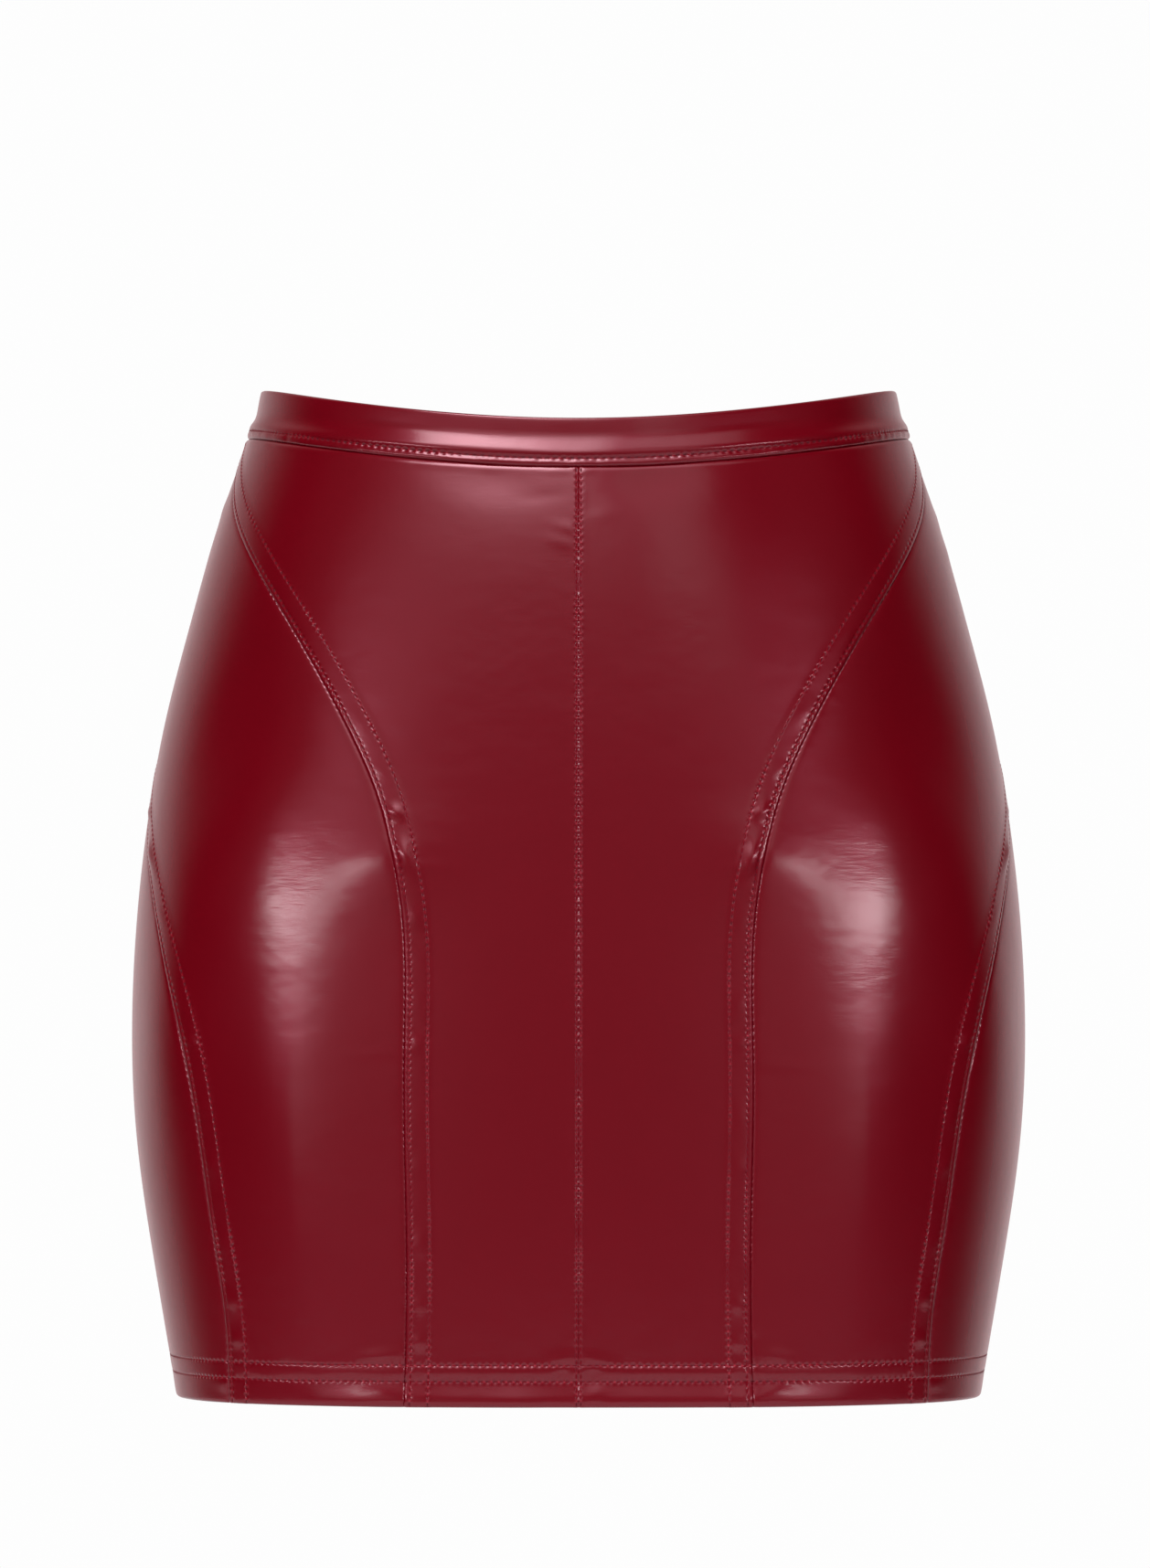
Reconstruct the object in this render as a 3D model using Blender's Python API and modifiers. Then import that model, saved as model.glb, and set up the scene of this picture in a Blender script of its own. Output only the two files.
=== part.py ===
"""Short fitted leather skirt, worn form, hollow from waist to hem.

The skirt is cut as six body panels and a folded waistband, closed by a concealed zip at the
centre back. Every panel is a thin wall whose outer face lies on one shared worn form. That form
is a stack of egg-shaped sections, and the seams are lines drawn on it.

Frame: metres, +Z up, the front faces -Y, and +X is to the right of someone who looks at the
front. The origin is the centre of the waist opening, level with the sides of its top edge.
An angle on the form is measured from the centre front: 0 is the centre front, 90 is the side
and 180 is the centre back.
"""

import math
from typing import NamedTuple

import bmesh
import bpy
import numpy as np
from mathutils import Matrix, Vector

MM = 0.001

# ---- driving dimensions, in millimetres ----

SKIRT_LENGTH = 393.0  # side of the waistband's top edge down to the hem
WAISTBAND_DEPTH = 19.0
FRONT_DIP = 13.4  # the top edge is lower than its sides by this at the centre front
BACK_DIP = 9.0  # and by this at the centre back
DIP_SHARPNESS = 2.4

LEATHER = 1.2  # one layer
FOLDED = 2.4  # two layers: the waistband and the turned-up hem
HEM_TURN_UP = 17.5
HEM_STEP = 1.2  # height over which the doubled hem thins to one layer
SEAM_GAP = 0.42
WAIST_SEAM_GAP = 0.52
EDGE_STRIP = 2.4  # width of the first and last column of a panel

# Sections of the worn form, top to bottom.
SECTION_COLUMNS = ("height", "half_width", "front_depth", "back_depth", "squareness")
SECTIONS = (
    (0.0, 124.4, 84.0, 92.0, 0.030),
    (-20.0, 130.2, 89.0, 98.0, 0.032),
    (-50.0, 140.4, 96.0, 107.0, 0.036),
    (-90.0, 151.9, 101.0, 116.0, 0.042),
    (-130.0, 162.2, 104.0, 122.0, 0.050),
    (-170.0, 169.0, 106.0, 125.0, 0.058),
    (-210.0, 173.2, 107.0, 125.0, 0.066),
    (-252.0, 175.0, 107.0, 122.0, 0.075),
    (-295.0, 172.9, 105.0, 117.0, 0.085),
    (-340.0, 166.4, 102.0, 110.0, 0.097),
    (-393.0, 157.3, 97.0, 103.0, 0.110),
)

# Seam lines on the form: the angle of each seam at a height.
SEAM_COLUMNS = ("height", "angle")
FRONT_SEAM = (
    (-393.0, 23.6),
    (-330.0, 22.0),
    (-260.0, 21.6),
    (-205.0, 22.2),
    (-180.0, 23.9),
    (-155.0, 27.0),
    (-130.0, 32.3),
    (-105.0, 39.9),
    (-80.0, 50.6),
    (-60.0, 62.4),
    (-40.0, 78.6),
    (-19.0, 99.0),
)
REAR_SEAM = (
    (-393.0, 50.8),
    (-366.0, 49.6),
    (-325.0, 50.2),
    (-285.0, 51.6),
    (-250.0, 54.8),
    (-217.0, 61.6),
    (-190.0, 71.4),
    (-165.0, 86.0),
    (-140.0, 101.5),
    (-105.0, 120.0),
    (-70.0, 135.0),
    (-40.0, 144.0),
    (-19.0, 148.5),
)

PANEL_ROWS = 25
FRONT_COLUMNS = 10
HIP_COLUMNS = 7
BACK_COLUMNS = 11
BAND_COLUMNS = 46
SEAM_TRIES = 30  # repeats that settle where a seam crosses a row
PROBE = 0.5  # mm or degrees to each side when a slope or a length is measured


class FoldRow(NamedTuple):
    """A row of the waistband, in mm, with the share of the folded thickness left there."""

    below_top: float
    roll_in: float  # how far the outer face has rolled inwards
    thickness_share: float


WAISTBAND_FOLD = (
    FoldRow(0.0, 0.75, 0.38),
    FoldRow(0.5, 0.28, 0.76),
    FoldRow(1.3, 0.0, 1.0),
    FoldRow(10.0, 0.0, 1.0),
    FoldRow(WAISTBAND_DEPTH - WAIST_SEAM_GAP / 2, 0.0, 1.0),
)

# Concealed zip at the centre back.
ZIP_LENGTH = 176.0
BAND_END_GAP = 2.0  # between the waistband's ends, where the slider's neck passes
TAPE_WIDTH = 11.0
TAPE_THICKNESS = 1.0
TAPE_CLEARANCE = 0.75
TAPE_ROWS = 15
COIL_WIDTH = 2.0
COIL_SHOULDER = 0.4  # width over which the coil's extra thickness fades
COIL_EXTRA = 0.8  # a coil is this much thicker than its tape
TAPE_TOP = 1.5  # below the waistband's top edge
TAPE_STEP_ROOM = 3.0  # height in which a tape passes the waistband's lower inner edge

SLIDER_BELOW_TOP = 5.5
SLIDER_CLEARANCE = 0.5
SLIDER_BODY = (7.0, 1.5, 8.6)
NECK_WIDTH = 1.0
NECK_HEIGHT = 4.0
BRIDGE_WIDTH = 1.2
BRIDGE_HEIGHT = 6.8
BRIDGE_REACH = 3.0
BRIDGE_STAND_OFF = 0.45
BRIDGE_WALL = 0.65
BRIDGE_ROUNDING = 1.2
PIVOT_STAND_OFF = BRIDGE_STAND_OFF + BRIDGE_REACH / 2
PULL_LENGTH = 21.0
PULL_TOP_WIDTH = 4.6
PULL_END_WIDTH = 6.4
PULL_THICKNESS = 0.8
PULL_BAR = 0.8
PULL_EYE_WIDTH = 2.6
PULL_EYE_END = 5.2
PULL_ROUNDING = 0.7
PULL_CHAMFER = 0.5
PULL_END_STEPS = 12
PULL_LEAN = 3.0  # degrees that the resting pull leans in from the band's own slope

COLOURS = {
    "leather": ((0.135, 0.006, 0.012, 1.0), 0.32, 0.0),
    "tape": ((0.090, 0.010, 0.014, 1.0), 0.90, 0.0),
    "zip_metal": ((0.120, 0.020, 0.026, 1.0), 0.40, 0.6),
}


# ---- the worn form ----


def natural_spline(places, values):
    """Return the smoothest curve through values at ascending places, as a function."""
    places = np.asarray(places, float)
    values = np.asarray(values, float)
    steps = np.diff(places)
    count = len(places)
    matrix = np.eye(count)
    right = np.zeros(count)
    slopes = np.diff(values) / steps
    for i in range(1, count - 1):
        matrix[i, i - 1 : i + 2] = (steps[i - 1], 2 * (steps[i - 1] + steps[i]), steps[i])
        right[i] = 6 * (slopes[i] - slopes[i - 1])
    bend = np.linalg.solve(matrix, right)

    def curve(place):
        i = int(np.clip(np.searchsorted(places, place) - 1, 0, count - 2))
        past = place - places[i]
        left = places[i + 1] - place
        step = steps[i]
        straight = (values[i] * left + values[i + 1] * past) / step
        pull_low = bend[i] * (left**3 / step - step * left) / 6
        pull_high = bend[i + 1] * (past**3 / step - step * past) / 6
        return straight + pull_low + pull_high

    return curve


def column_curves(columns, table):
    """Return one spline over height for each value column of a table, by the column's name."""
    rows = sorted(table)
    heights = [row[0] for row in rows]
    curves = {}
    for index, column in enumerate(columns[1:], start=1):
        curves[column] = natural_spline(heights, [row[index] for row in rows])
    return curves


FORM = column_curves(SECTION_COLUMNS, SECTIONS)
FRONT_SEAM_ANGLE = column_curves(SEAM_COLUMNS, FRONT_SEAM)["angle"]
REAR_SEAM_ANGLE = column_curves(SEAM_COLUMNS, REAR_SEAM)["angle"]


def form_point(angle, height):
    """Return the point of the worn form at an angle in degrees and a height in mm."""
    turn = math.radians(angle)
    front = FORM["front_depth"](height)
    back = FORM["back_depth"](height)
    mean = (front + back) / 2
    lean = (back - front) / 2
    fullness = 1 + FORM["squareness"](height) * math.sin(2 * turn) ** 2
    x = FORM["half_width"](height) * math.sin(turn) * fullness
    y = -(mean - lean * math.cos(turn)) * math.cos(turn) * fullness
    return Vector((x, y, height))


def form_normal(angle, height):
    """Return the outward unit normal of the worn form."""
    across = form_point(angle + PROBE, height) - form_point(angle - PROBE, height)
    up = form_point(angle, height + PROBE) - form_point(angle, height - PROBE)
    return across.cross(up).normalized()


def top_edge(angle):
    """Return the height of the waistband's top edge at an angle."""
    facing = math.cos(math.radians(angle))
    dip = FRONT_DIP if facing > 0 else BACK_DIP
    return -dip * abs(facing) ** DIP_SHARPNESS


def waist_seam(angle):
    """Return the height of the seam between the waistband and the panels."""
    return top_edge(angle) - WAISTBAND_DEPTH


def height_at(share, angle):
    """Return the height a share of the way from the hem to the waist seam."""
    bottom = -SKIRT_LENGTH
    return bottom + (waist_seam(angle) - WAIST_SEAM_GAP / 2 - bottom) * share


def arc_per_degree(angle, height):
    """Return the millimetres of cloth in one degree round the form."""
    width = form_point(angle + PROBE, height) - form_point(angle - PROBE, height)
    return width.length / (2 * PROBE)


# ---- meshes ----


def finish(name, colour_key):
    """Return a new Principled material for a sub-part."""
    colour, roughness, metallic = COLOURS[colour_key]
    material = bpy.data.materials.new(name)
    material.use_nodes = True
    shader = material.node_tree.nodes["Principled BSDF"]
    shader.inputs["Base Color"].default_value = colour
    shader.inputs["Roughness"].default_value = roughness
    shader.inputs["Metallic"].default_value = metallic
    return material


def add_mesh_object(name, mesh, collection, colour_key):
    """Link a mesh as a named object with its own material."""
    thing = bpy.data.objects.new(name, mesh)
    mesh.materials.append(finish(name, colour_key))
    collection.objects.link(thing)
    return thing


def grid_mesh(name, grid):
    """Return an open sheet through a grid of points, rows bottom to top, seen from outside."""
    sheet = bmesh.new()
    verts = [[sheet.verts.new(point * MM) for point in row] for row in grid]
    for low, high in zip(verts, verts[1:]):
        for i in range(len(low) - 1):
            sheet.faces.new((low[i], low[i + 1], high[i + 1], high[i]))
    mesh = bpy.data.meshes.new(name)
    sheet.to_mesh(mesh)
    sheet.free()
    mesh.shade_smooth()
    return mesh


def thicken(thing, thickness, shares):
    """Give a sheet its wall, inward from its outer face, thinner where a share is below 1."""
    solid = thing.modifiers.new("wall", "SOLIDIFY")
    solid.thickness = thickness * MM
    solid.offset = -1
    solid.use_quality_normals = True
    group = thing.vertex_groups.new(name="wall")
    for index, share in enumerate(shares):
        group.add([index], share, "REPLACE")
    solid.vertex_group = group.name


# ---- body panels ----


def panel_shares():
    """Return the rows of a panel as shares of its height, with two rows for the hem's step."""
    full = SKIRT_LENGTH - WAISTBAND_DEPTH
    hem = HEM_TURN_UP / full
    step = (HEM_TURN_UP + HEM_STEP) / full
    rest = np.linspace(step, 1.0, PANEL_ROWS - 1)
    return [0.0, hem] + [float(share) for share in rest]


def seam_point(seam, share):
    """Return the angle at which a seam line crosses a row, where rows follow the waist's dip."""
    angle = 90.0
    for _ in range(SEAM_TRIES):
        angle = seam(height_at(share, angle))
    return angle


def seam_edge(seam, shares, side):
    """Return a panel's edge angles: the seam line, moved half a gap to one side of it."""
    edge = []
    for share in shares:
        angle = seam_point(seam, share)
        height = height_at(share, angle)
        along = seam(height + PROBE) - seam(height - PROBE)
        tilt = math.atan(along * arc_per_degree(angle, height) / (2 * PROBE))
        shift = SEAM_GAP / 2 / math.cos(tilt)
        edge.append(angle + side * shift / arc_per_degree(angle, height))
    return edge


def straight_edge(angle, shares, side):
    """Return edge angles beside the centre front or centre back line."""
    edge = []
    for share in shares:
        per_degree = arc_per_degree(angle, height_at(share, angle))
        edge.append(angle + side * SEAM_GAP / 2 / per_degree)
    return edge


def column_places(first, last, inner_columns, height):
    """Return angles across a panel's row: a narrow column at each edge and even ones between."""
    strip_first = EDGE_STRIP / arc_per_degree(first, height)
    strip_last = EDGE_STRIP / arc_per_degree(last, height)
    inner = np.linspace(first + strip_first, last - strip_last, inner_columns + 1)
    return [first] + [float(angle) for angle in inner] + [last]


def panel(name, first_edge, last_edge, inner_columns, side, collection):
    """Build one panel between two edges. Side is 1 for the right half and -1 for the left."""
    grid = []
    shares = panel_shares()
    for share, first, last in zip(shares, first_edge, last_edge):
        middle = height_at(share, (first + last) / 2)
        angles = column_places(first, last, inner_columns, middle)
        row = [form_point(side * angle, height_at(share, angle)) for angle in angles]
        grid.append(row if side > 0 else row[::-1])
    thing = add_mesh_object(name, grid_mesh(name, grid), collection, "leather")
    doubled_rows = 2
    wall = []
    for index, row in enumerate(grid):
        wall += [1.0 if index < doubled_rows else LEATHER / FOLDED] * len(row)
    thicken(thing, FOLDED, wall)
    return thing


def body_panels(collection):
    """Build the six body panels."""
    shares = panel_shares()
    for word, side in (("left", -1), ("right", 1)):
        centre_front = straight_edge(0.0, shares, 1)
        centre_back = straight_edge(180.0, shares, -1)
        front_near = seam_edge(FRONT_SEAM_ANGLE, shares, -1)
        front_far = seam_edge(FRONT_SEAM_ANGLE, shares, 1)
        rear_near = seam_edge(REAR_SEAM_ANGLE, shares, -1)
        rear_far = seam_edge(REAR_SEAM_ANGLE, shares, 1)
        panel(f"front_panel_{word}", centre_front, front_near, FRONT_COLUMNS, side, collection)
        panel(f"hip_panel_{word}", front_far, rear_near, HIP_COLUMNS, side, collection)
        panel(f"back_panel_{word}", rear_far, centre_back, BACK_COLUMNS, side, collection)


# ---- waistband ----


def waistband(collection):
    """Build the folded waistband, a strip from one side of the zip round to the other."""
    half_gap = BAND_END_GAP / 2 / arc_per_degree(180.0, -WAISTBAND_DEPTH)
    angles = np.linspace(-180.0 + half_gap, 180.0 - half_gap, BAND_COLUMNS + 1)
    grid = []
    wall = []
    for fold in reversed(WAISTBAND_FOLD):
        row = []
        for angle in angles:
            height = top_edge(angle) - fold.below_top
            inward = form_normal(angle, height) * fold.roll_in
            row.append(form_point(angle, height) - inward)
        grid.append(row)
        wall += [fold.thickness_share] * len(row)
    thing = add_mesh_object("waistband", grid_mesh("waistband", grid), collection, "leather")
    thicken(thing, FOLDED, wall)


# ---- concealed zip ----


def tape_depth(below_top):
    """Return how far inside the form's outer face a tape's outer side lies."""
    in_band = FOLDED + TAPE_CLEARANCE
    in_panel = LEATHER + TAPE_CLEARANCE
    past = (below_top - WAISTBAND_DEPTH) / TAPE_STEP_ROOM
    return in_band + (in_panel - in_band) * min(max(past, 0.0), 1.0)


def zip_tape(word, side, collection):
    """Build one tape of the zip with its half of the coil along the centre-back edge."""
    slider_end = SLIDER_BELOW_TOP + SLIDER_BODY[2] / 2
    run = np.linspace(WAISTBAND_DEPTH + TAPE_STEP_ROOM, ZIP_LENGTH, TAPE_ROWS)
    belows = [TAPE_TOP, slider_end, WAISTBAND_DEPTH + WAIST_SEAM_GAP]
    belows += [float(value) for value in run]
    places = (SEAM_GAP / 2, COIL_WIDTH, COIL_WIDTH + COIL_SHOULDER, TAPE_WIDTH)
    tape_share = TAPE_THICKNESS / (TAPE_THICKNESS + COIL_EXTRA)
    grid = []
    wall = []
    for below in reversed(belows):
        row = []
        shares = []
        near_slider = below <= slider_end
        for index, place in enumerate(places):
            if near_slider and index == 0:
                place = BAND_END_GAP / 2
            height = top_edge(180.0) - below
            angle = 180.0 - place / arc_per_degree(180.0, height)
            inward = form_normal(side * angle, height) * tape_depth(below)
            row.append(form_point(side * angle, height) - inward)
            shares.append(1.0 if index < 2 else tape_share)
        if side > 0:
            row.reverse()
            shares.reverse()
        grid.append(row)
        wall += shares
    name = f"zip_tape_{word}"
    thing = add_mesh_object(name, grid_mesh(name, grid), collection, "tape")
    thicken(thing, TAPE_THICKNESS + COIL_EXTRA, wall)


def zip_frame(collection):
    """Add the empty that carries the slider: on the band's outer face, +Y out, +Z up the band."""
    height = top_edge(180.0) - SLIDER_BELOW_TOP
    out = form_normal(180.0, height)
    right = Vector((1.0, 0.0, 0.0))
    up = right.cross(out).normalized()
    frame = bpy.data.objects.new("zip_frame", None)
    axes = Matrix((right, out, up)).transposed().to_4x4()
    frame.matrix_world = Matrix.Translation(form_point(180.0, height) * MM) @ axes
    collection.objects.link(frame)
    return frame


def flat_outline(name, loops, thickness):
    """Return the mesh of a flat plate from closed loops in its own XY plane, holes inside."""
    curve = bpy.data.curves.new(name, "CURVE")
    curve.dimensions = "2D"
    curve.fill_mode = "BOTH"
    curve.extrude = thickness * MM / 2
    for loop in loops:
        spline = curve.splines.new("POLY")
        spline.points.add(len(loop) - 1)
        spline.use_cyclic_u = True
        for point, (x, y) in zip(spline.points, loop):
            point.co = (x * MM, y * MM, 0.0, 1.0)
    outline = bpy.data.objects.new(name, curve)
    bpy.context.scene.collection.objects.link(outline)
    depsgraph = bpy.context.evaluated_depsgraph_get()
    mesh = bpy.data.meshes.new_from_object(outline.evaluated_get(depsgraph))
    bpy.data.objects.remove(outline)
    welded = bmesh.new()
    welded.from_mesh(mesh)
    bmesh.ops.remove_doubles(welded, verts=welded.verts, dist=0.00001)
    welded.to_mesh(mesh)
    welded.free()
    mesh.materials.clear()
    return mesh


def rounded_loop(width, height, radius, centre=(0.0, 0.0), arc_steps=4):
    """Return the points of a rectangle with round corners, anticlockwise."""
    points = []
    for corner, (right, up) in enumerate(((1, 1), (-1, 1), (-1, -1), (1, -1))):
        for step in range(arc_steps + 1):
            turn = math.radians(90 * (corner + step / arc_steps))
            x = centre[0] + right * (width / 2 - radius) + radius * math.cos(turn)
            y = centre[1] + up * (height / 2 - radius) + radius * math.sin(turn)
            points.append((x, y))
    return points


def box_mesh(name, size, centre):
    """Return a box mesh of a size in mm about a centre in mm."""
    box = bmesh.new()
    bmesh.ops.create_cube(box, size=1.0)
    bmesh.ops.scale(box, verts=box.verts, vec=Vector(size) * MM)
    bmesh.ops.translate(box, verts=box.verts, vec=Vector(centre) * MM)
    mesh = bpy.data.meshes.new(name)
    box.to_mesh(mesh)
    box.free()
    return mesh


def helper(name, mesh, frame, cutters):
    """Link a mesh that a Boolean reads, hidden from the build, in the slider's frame."""
    thing = bpy.data.objects.new(name, mesh)
    thing.parent = frame
    thing.hide_render = True
    thing.display_type = "WIRE"
    cutters.objects.link(thing)
    return thing


def zip_slider(frame, collection, cutters):
    """Build the slider: a body inside the tapes, a neck through the opening and a bridge."""
    bridge_loop = rounded_loop(BRIDGE_REACH, BRIDGE_HEIGHT, BRIDGE_ROUNDING)
    window_reach = BRIDGE_REACH - 2 * BRIDGE_WALL
    window_height = BRIDGE_HEIGHT - 2 * BRIDGE_WALL
    window_loop = rounded_loop(window_reach, window_height, BRIDGE_ROUNDING - BRIDGE_WALL)
    mesh = flat_outline("zip_slider", (bridge_loop, window_loop), BRIDGE_WIDTH)
    stand_off = (BRIDGE_STAND_OFF + BRIDGE_REACH / 2) * MM
    turn = Matrix.Translation((0.0, stand_off, 0.0)) @ Matrix(
        ((0, 0, 1, 0), (1, 0, 0, 0), (0, 1, 0, 0), (0, 0, 0, 1))
    )
    mesh.transform(turn)
    slider = add_mesh_object("zip_slider", mesh, collection, "zip_metal")
    slider.parent = frame
    depth = SLIDER_BODY[1]
    coil_back = tape_depth(0.0) + TAPE_THICKNESS + COIL_EXTRA
    body_front = -(coil_back + SLIDER_CLEARANCE)
    neck_reach = BRIDGE_STAND_OFF + BRIDGE_WALL / 2
    neck_depth = neck_reach - body_front + depth / 2
    neck_size = (NECK_WIDTH, neck_depth, NECK_HEIGHT)
    neck = box_mesh("neck", neck_size, (0.0, neck_reach - neck_depth / 2, 0.0))
    body = box_mesh("slider_body", SLIDER_BODY, (0.0, body_front - depth / 2, 0.0))
    for part_mesh in (neck, body):
        join = slider.modifiers.new(part_mesh.name, "BOOLEAN")
        join.operation = "UNION"
        join.solver = "EXACT"
        join.object = helper(part_mesh.name, part_mesh, frame, cutters)


def zip_pull(frame, collection):
    """Build the pull, hung from the slider's bridge, with its origin on the pivot."""
    top = PULL_BAR / 2
    half_top = PULL_TOP_WIDTH / 2
    radius = PULL_END_WIDTH / 2
    centre = radius - PULL_LENGTH
    outline = [(PULL_CHAMFER - half_top, top), (-half_top, top - PULL_CHAMFER)]
    for step in range(PULL_END_STEPS + 1):
        turn = math.radians(180 + 180 * step / PULL_END_STEPS)
        outline.append((radius * math.cos(turn), centre + radius * math.sin(turn)))
    outline += [(half_top, top - PULL_CHAMFER), (half_top - PULL_CHAMFER, top)]
    eye_height = PULL_EYE_END - top
    eye_centre = (0.0, -top - eye_height / 2)
    eye = rounded_loop(PULL_EYE_WIDTH, eye_height, PULL_ROUNDING, centre=eye_centre)
    mesh = flat_outline("zip_pull", (outline, eye), PULL_THICKNESS)
    mesh.transform(Matrix.Rotation(math.radians(90), 4, "X"))
    pull = add_mesh_object("zip_pull", mesh, collection, "zip_metal")
    pull.parent = frame
    pull.location = (0.0, PIVOT_STAND_OFF * MM, 0.0)
    pull.rotation_euler = (-math.radians(PULL_LEAN), 0.0, 0.0)


# ---- the object ----


def main():
    """Build the skirt in an empty scene."""
    for thing in list(bpy.data.objects):
        bpy.data.objects.remove(thing, do_unlink=True)
    collection = bpy.data.collections.new("leather_skirt")
    cutters = bpy.data.collections.new("cutters")
    bpy.context.scene.collection.children.link(collection)
    bpy.context.scene.collection.children.link(cutters)
    body_panels(collection)
    waistband(collection)
    zip_tape("left", -1, collection)
    zip_tape("right", 1, collection)
    frame = zip_frame(collection)
    zip_slider(frame, collection, cutters)
    zip_pull(frame, collection)


main()
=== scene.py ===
"""Looks of a short fitted leather skirt: glossy coated panels, top-stitching, hem and zip.

Every piece is a thin shell on the worn form that the frame's solids follow. The form is a stack
of egg-shaped sections, and the seams are lines drawn on it. Frame: metres, +Z up, the front
faces -Y. An angle on the form is measured from the centre front: 0 is the centre front, 90 the
side and 180 the centre back. Sizes are in millimetres until a mesh is made.
"""

from __future__ import annotations

import logging
import math
from dataclasses import dataclass, field
from enum import Enum

import bmesh
import bpy
import numpy as np
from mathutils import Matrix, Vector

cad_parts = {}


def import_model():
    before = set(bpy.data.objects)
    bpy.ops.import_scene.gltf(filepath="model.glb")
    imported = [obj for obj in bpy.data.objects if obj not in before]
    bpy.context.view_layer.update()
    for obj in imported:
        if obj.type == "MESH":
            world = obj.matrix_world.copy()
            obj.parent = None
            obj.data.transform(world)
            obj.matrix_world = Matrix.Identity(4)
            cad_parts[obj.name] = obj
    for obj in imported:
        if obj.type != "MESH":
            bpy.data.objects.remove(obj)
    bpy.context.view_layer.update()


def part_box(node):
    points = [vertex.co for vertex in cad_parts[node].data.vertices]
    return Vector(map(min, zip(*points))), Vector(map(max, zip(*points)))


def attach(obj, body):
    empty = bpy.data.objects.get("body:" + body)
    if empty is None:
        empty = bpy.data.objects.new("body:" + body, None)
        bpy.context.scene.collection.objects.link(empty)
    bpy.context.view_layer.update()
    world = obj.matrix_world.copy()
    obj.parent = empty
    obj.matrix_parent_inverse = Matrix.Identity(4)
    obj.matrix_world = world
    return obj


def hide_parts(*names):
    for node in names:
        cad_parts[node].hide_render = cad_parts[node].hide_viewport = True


MM = 0.001
LOG = logging.getLogger("leather_skirt")

Array = np.ndarray
Socket = bpy.types.NodeSocket
Colour = tuple[float, float, float, float]  # red, green, blue and alpha
Edges = tuple[float, float, float, float]  # of a patch of light, in degrees
Stretch = tuple[float, float, float]  # scale of the coordinates on each axis
Noise = tuple[float | Stretch, ...]  # detail, scale and, if it isn't even, stretch

# ---- the cut, in millimetres ----

SKIRT_LENGTH = 393.0
WAISTBAND_DEPTH = 19.0
FRONT_DIP = 13.4
BACK_DIP = 9.0
DIP_SHARPNESS = 2.4
LEATHER = 1.2
FOLDED = 2.4
HEM_TURN_UP = 17.5
HEM_ROWS = (9.8, 16.1)  # two rows of stitching, above the hem's edge
TWIN_ROWS = (2.0, 8.9)  # two rows beside a curved seam, from its ditch
EDGE_ROW = 0.85  # row on each side of the centre seams
BAND_ROW = 3.1  # row above the waistband's lower edge
STITCH_PITCH = 2.7
# mesh attributes: distance to the nearest row of stitches and the place along it, in mm
SEAM_ROWS = ("seam_row_gap", "seam_row_run")
LEVEL_ROWS = ("level_row_gap", "level_row_run")
FAR_FROM_ROWS = 50.0

SECTION_COLUMNS = ("height", "half_width", "front_depth", "back_depth", "squareness")
SECTIONS = (
    (0.0, 124.4, 84.0, 92.0, 0.030),
    (-20.0, 130.2, 89.0, 98.0, 0.032),
    (-50.0, 140.4, 96.0, 107.0, 0.036),
    (-90.0, 151.9, 101.0, 116.0, 0.042),
    (-130.0, 162.2, 104.0, 122.0, 0.050),
    (-170.0, 169.0, 106.0, 125.0, 0.058),
    (-210.0, 173.2, 107.0, 125.0, 0.066),
    (-252.0, 175.0, 107.0, 122.0, 0.075),
    (-295.0, 172.9, 105.0, 117.0, 0.085),
    (-340.0, 166.4, 102.0, 110.0, 0.097),
    (-393.0, 157.3, 97.0, 103.0, 0.110),
)
SEAM_COLUMNS = ("height", "angle")
FRONT_SEAM = (
    (-393.0, 23.6),
    (-330.0, 22.0),
    (-260.0, 21.6),
    (-205.0, 22.2),
    (-180.0, 23.9),
    (-155.0, 27.0),
    (-130.0, 32.3),
    (-105.0, 39.9),
    (-80.0, 50.6),
    (-60.0, 62.4),
    (-40.0, 78.6),
    (-19.0, 99.0),
)
REAR_SEAM = (
    (-393.0, 50.8),
    (-366.0, 49.6),
    (-325.0, 50.2),
    (-285.0, 51.6),
    (-250.0, 54.8),
    (-217.0, 61.6),
    (-190.0, 71.4),
    (-165.0, 86.0),
    (-140.0, 101.5),
    (-105.0, 120.0),
    (-70.0, 135.0),
    (-40.0, 144.0),
    (-19.0, 148.5),
)

# ---- camera: level, at the height of the upper hip ----

CAMERA_DISTANCE = 4.0
CAMERA_HEIGHT = -0.1542
CAMERA_SIDE = -0.0014
FRAME_HEIGHT_M = 0.6154  # height of the view at the skirt's axis
SENSOR_MM = 36.0
FLOOR_HEIGHT = -1.0


class Side(Enum):
    """Half of the skirt, as seen from the front."""

    LEFT = -1
    RIGHT = 1

    @property
    def word(self) -> str:
        """Name of the half as it stands in a node's name."""
        return self.name.lower()


# ---- curves and the worn form ----


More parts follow.
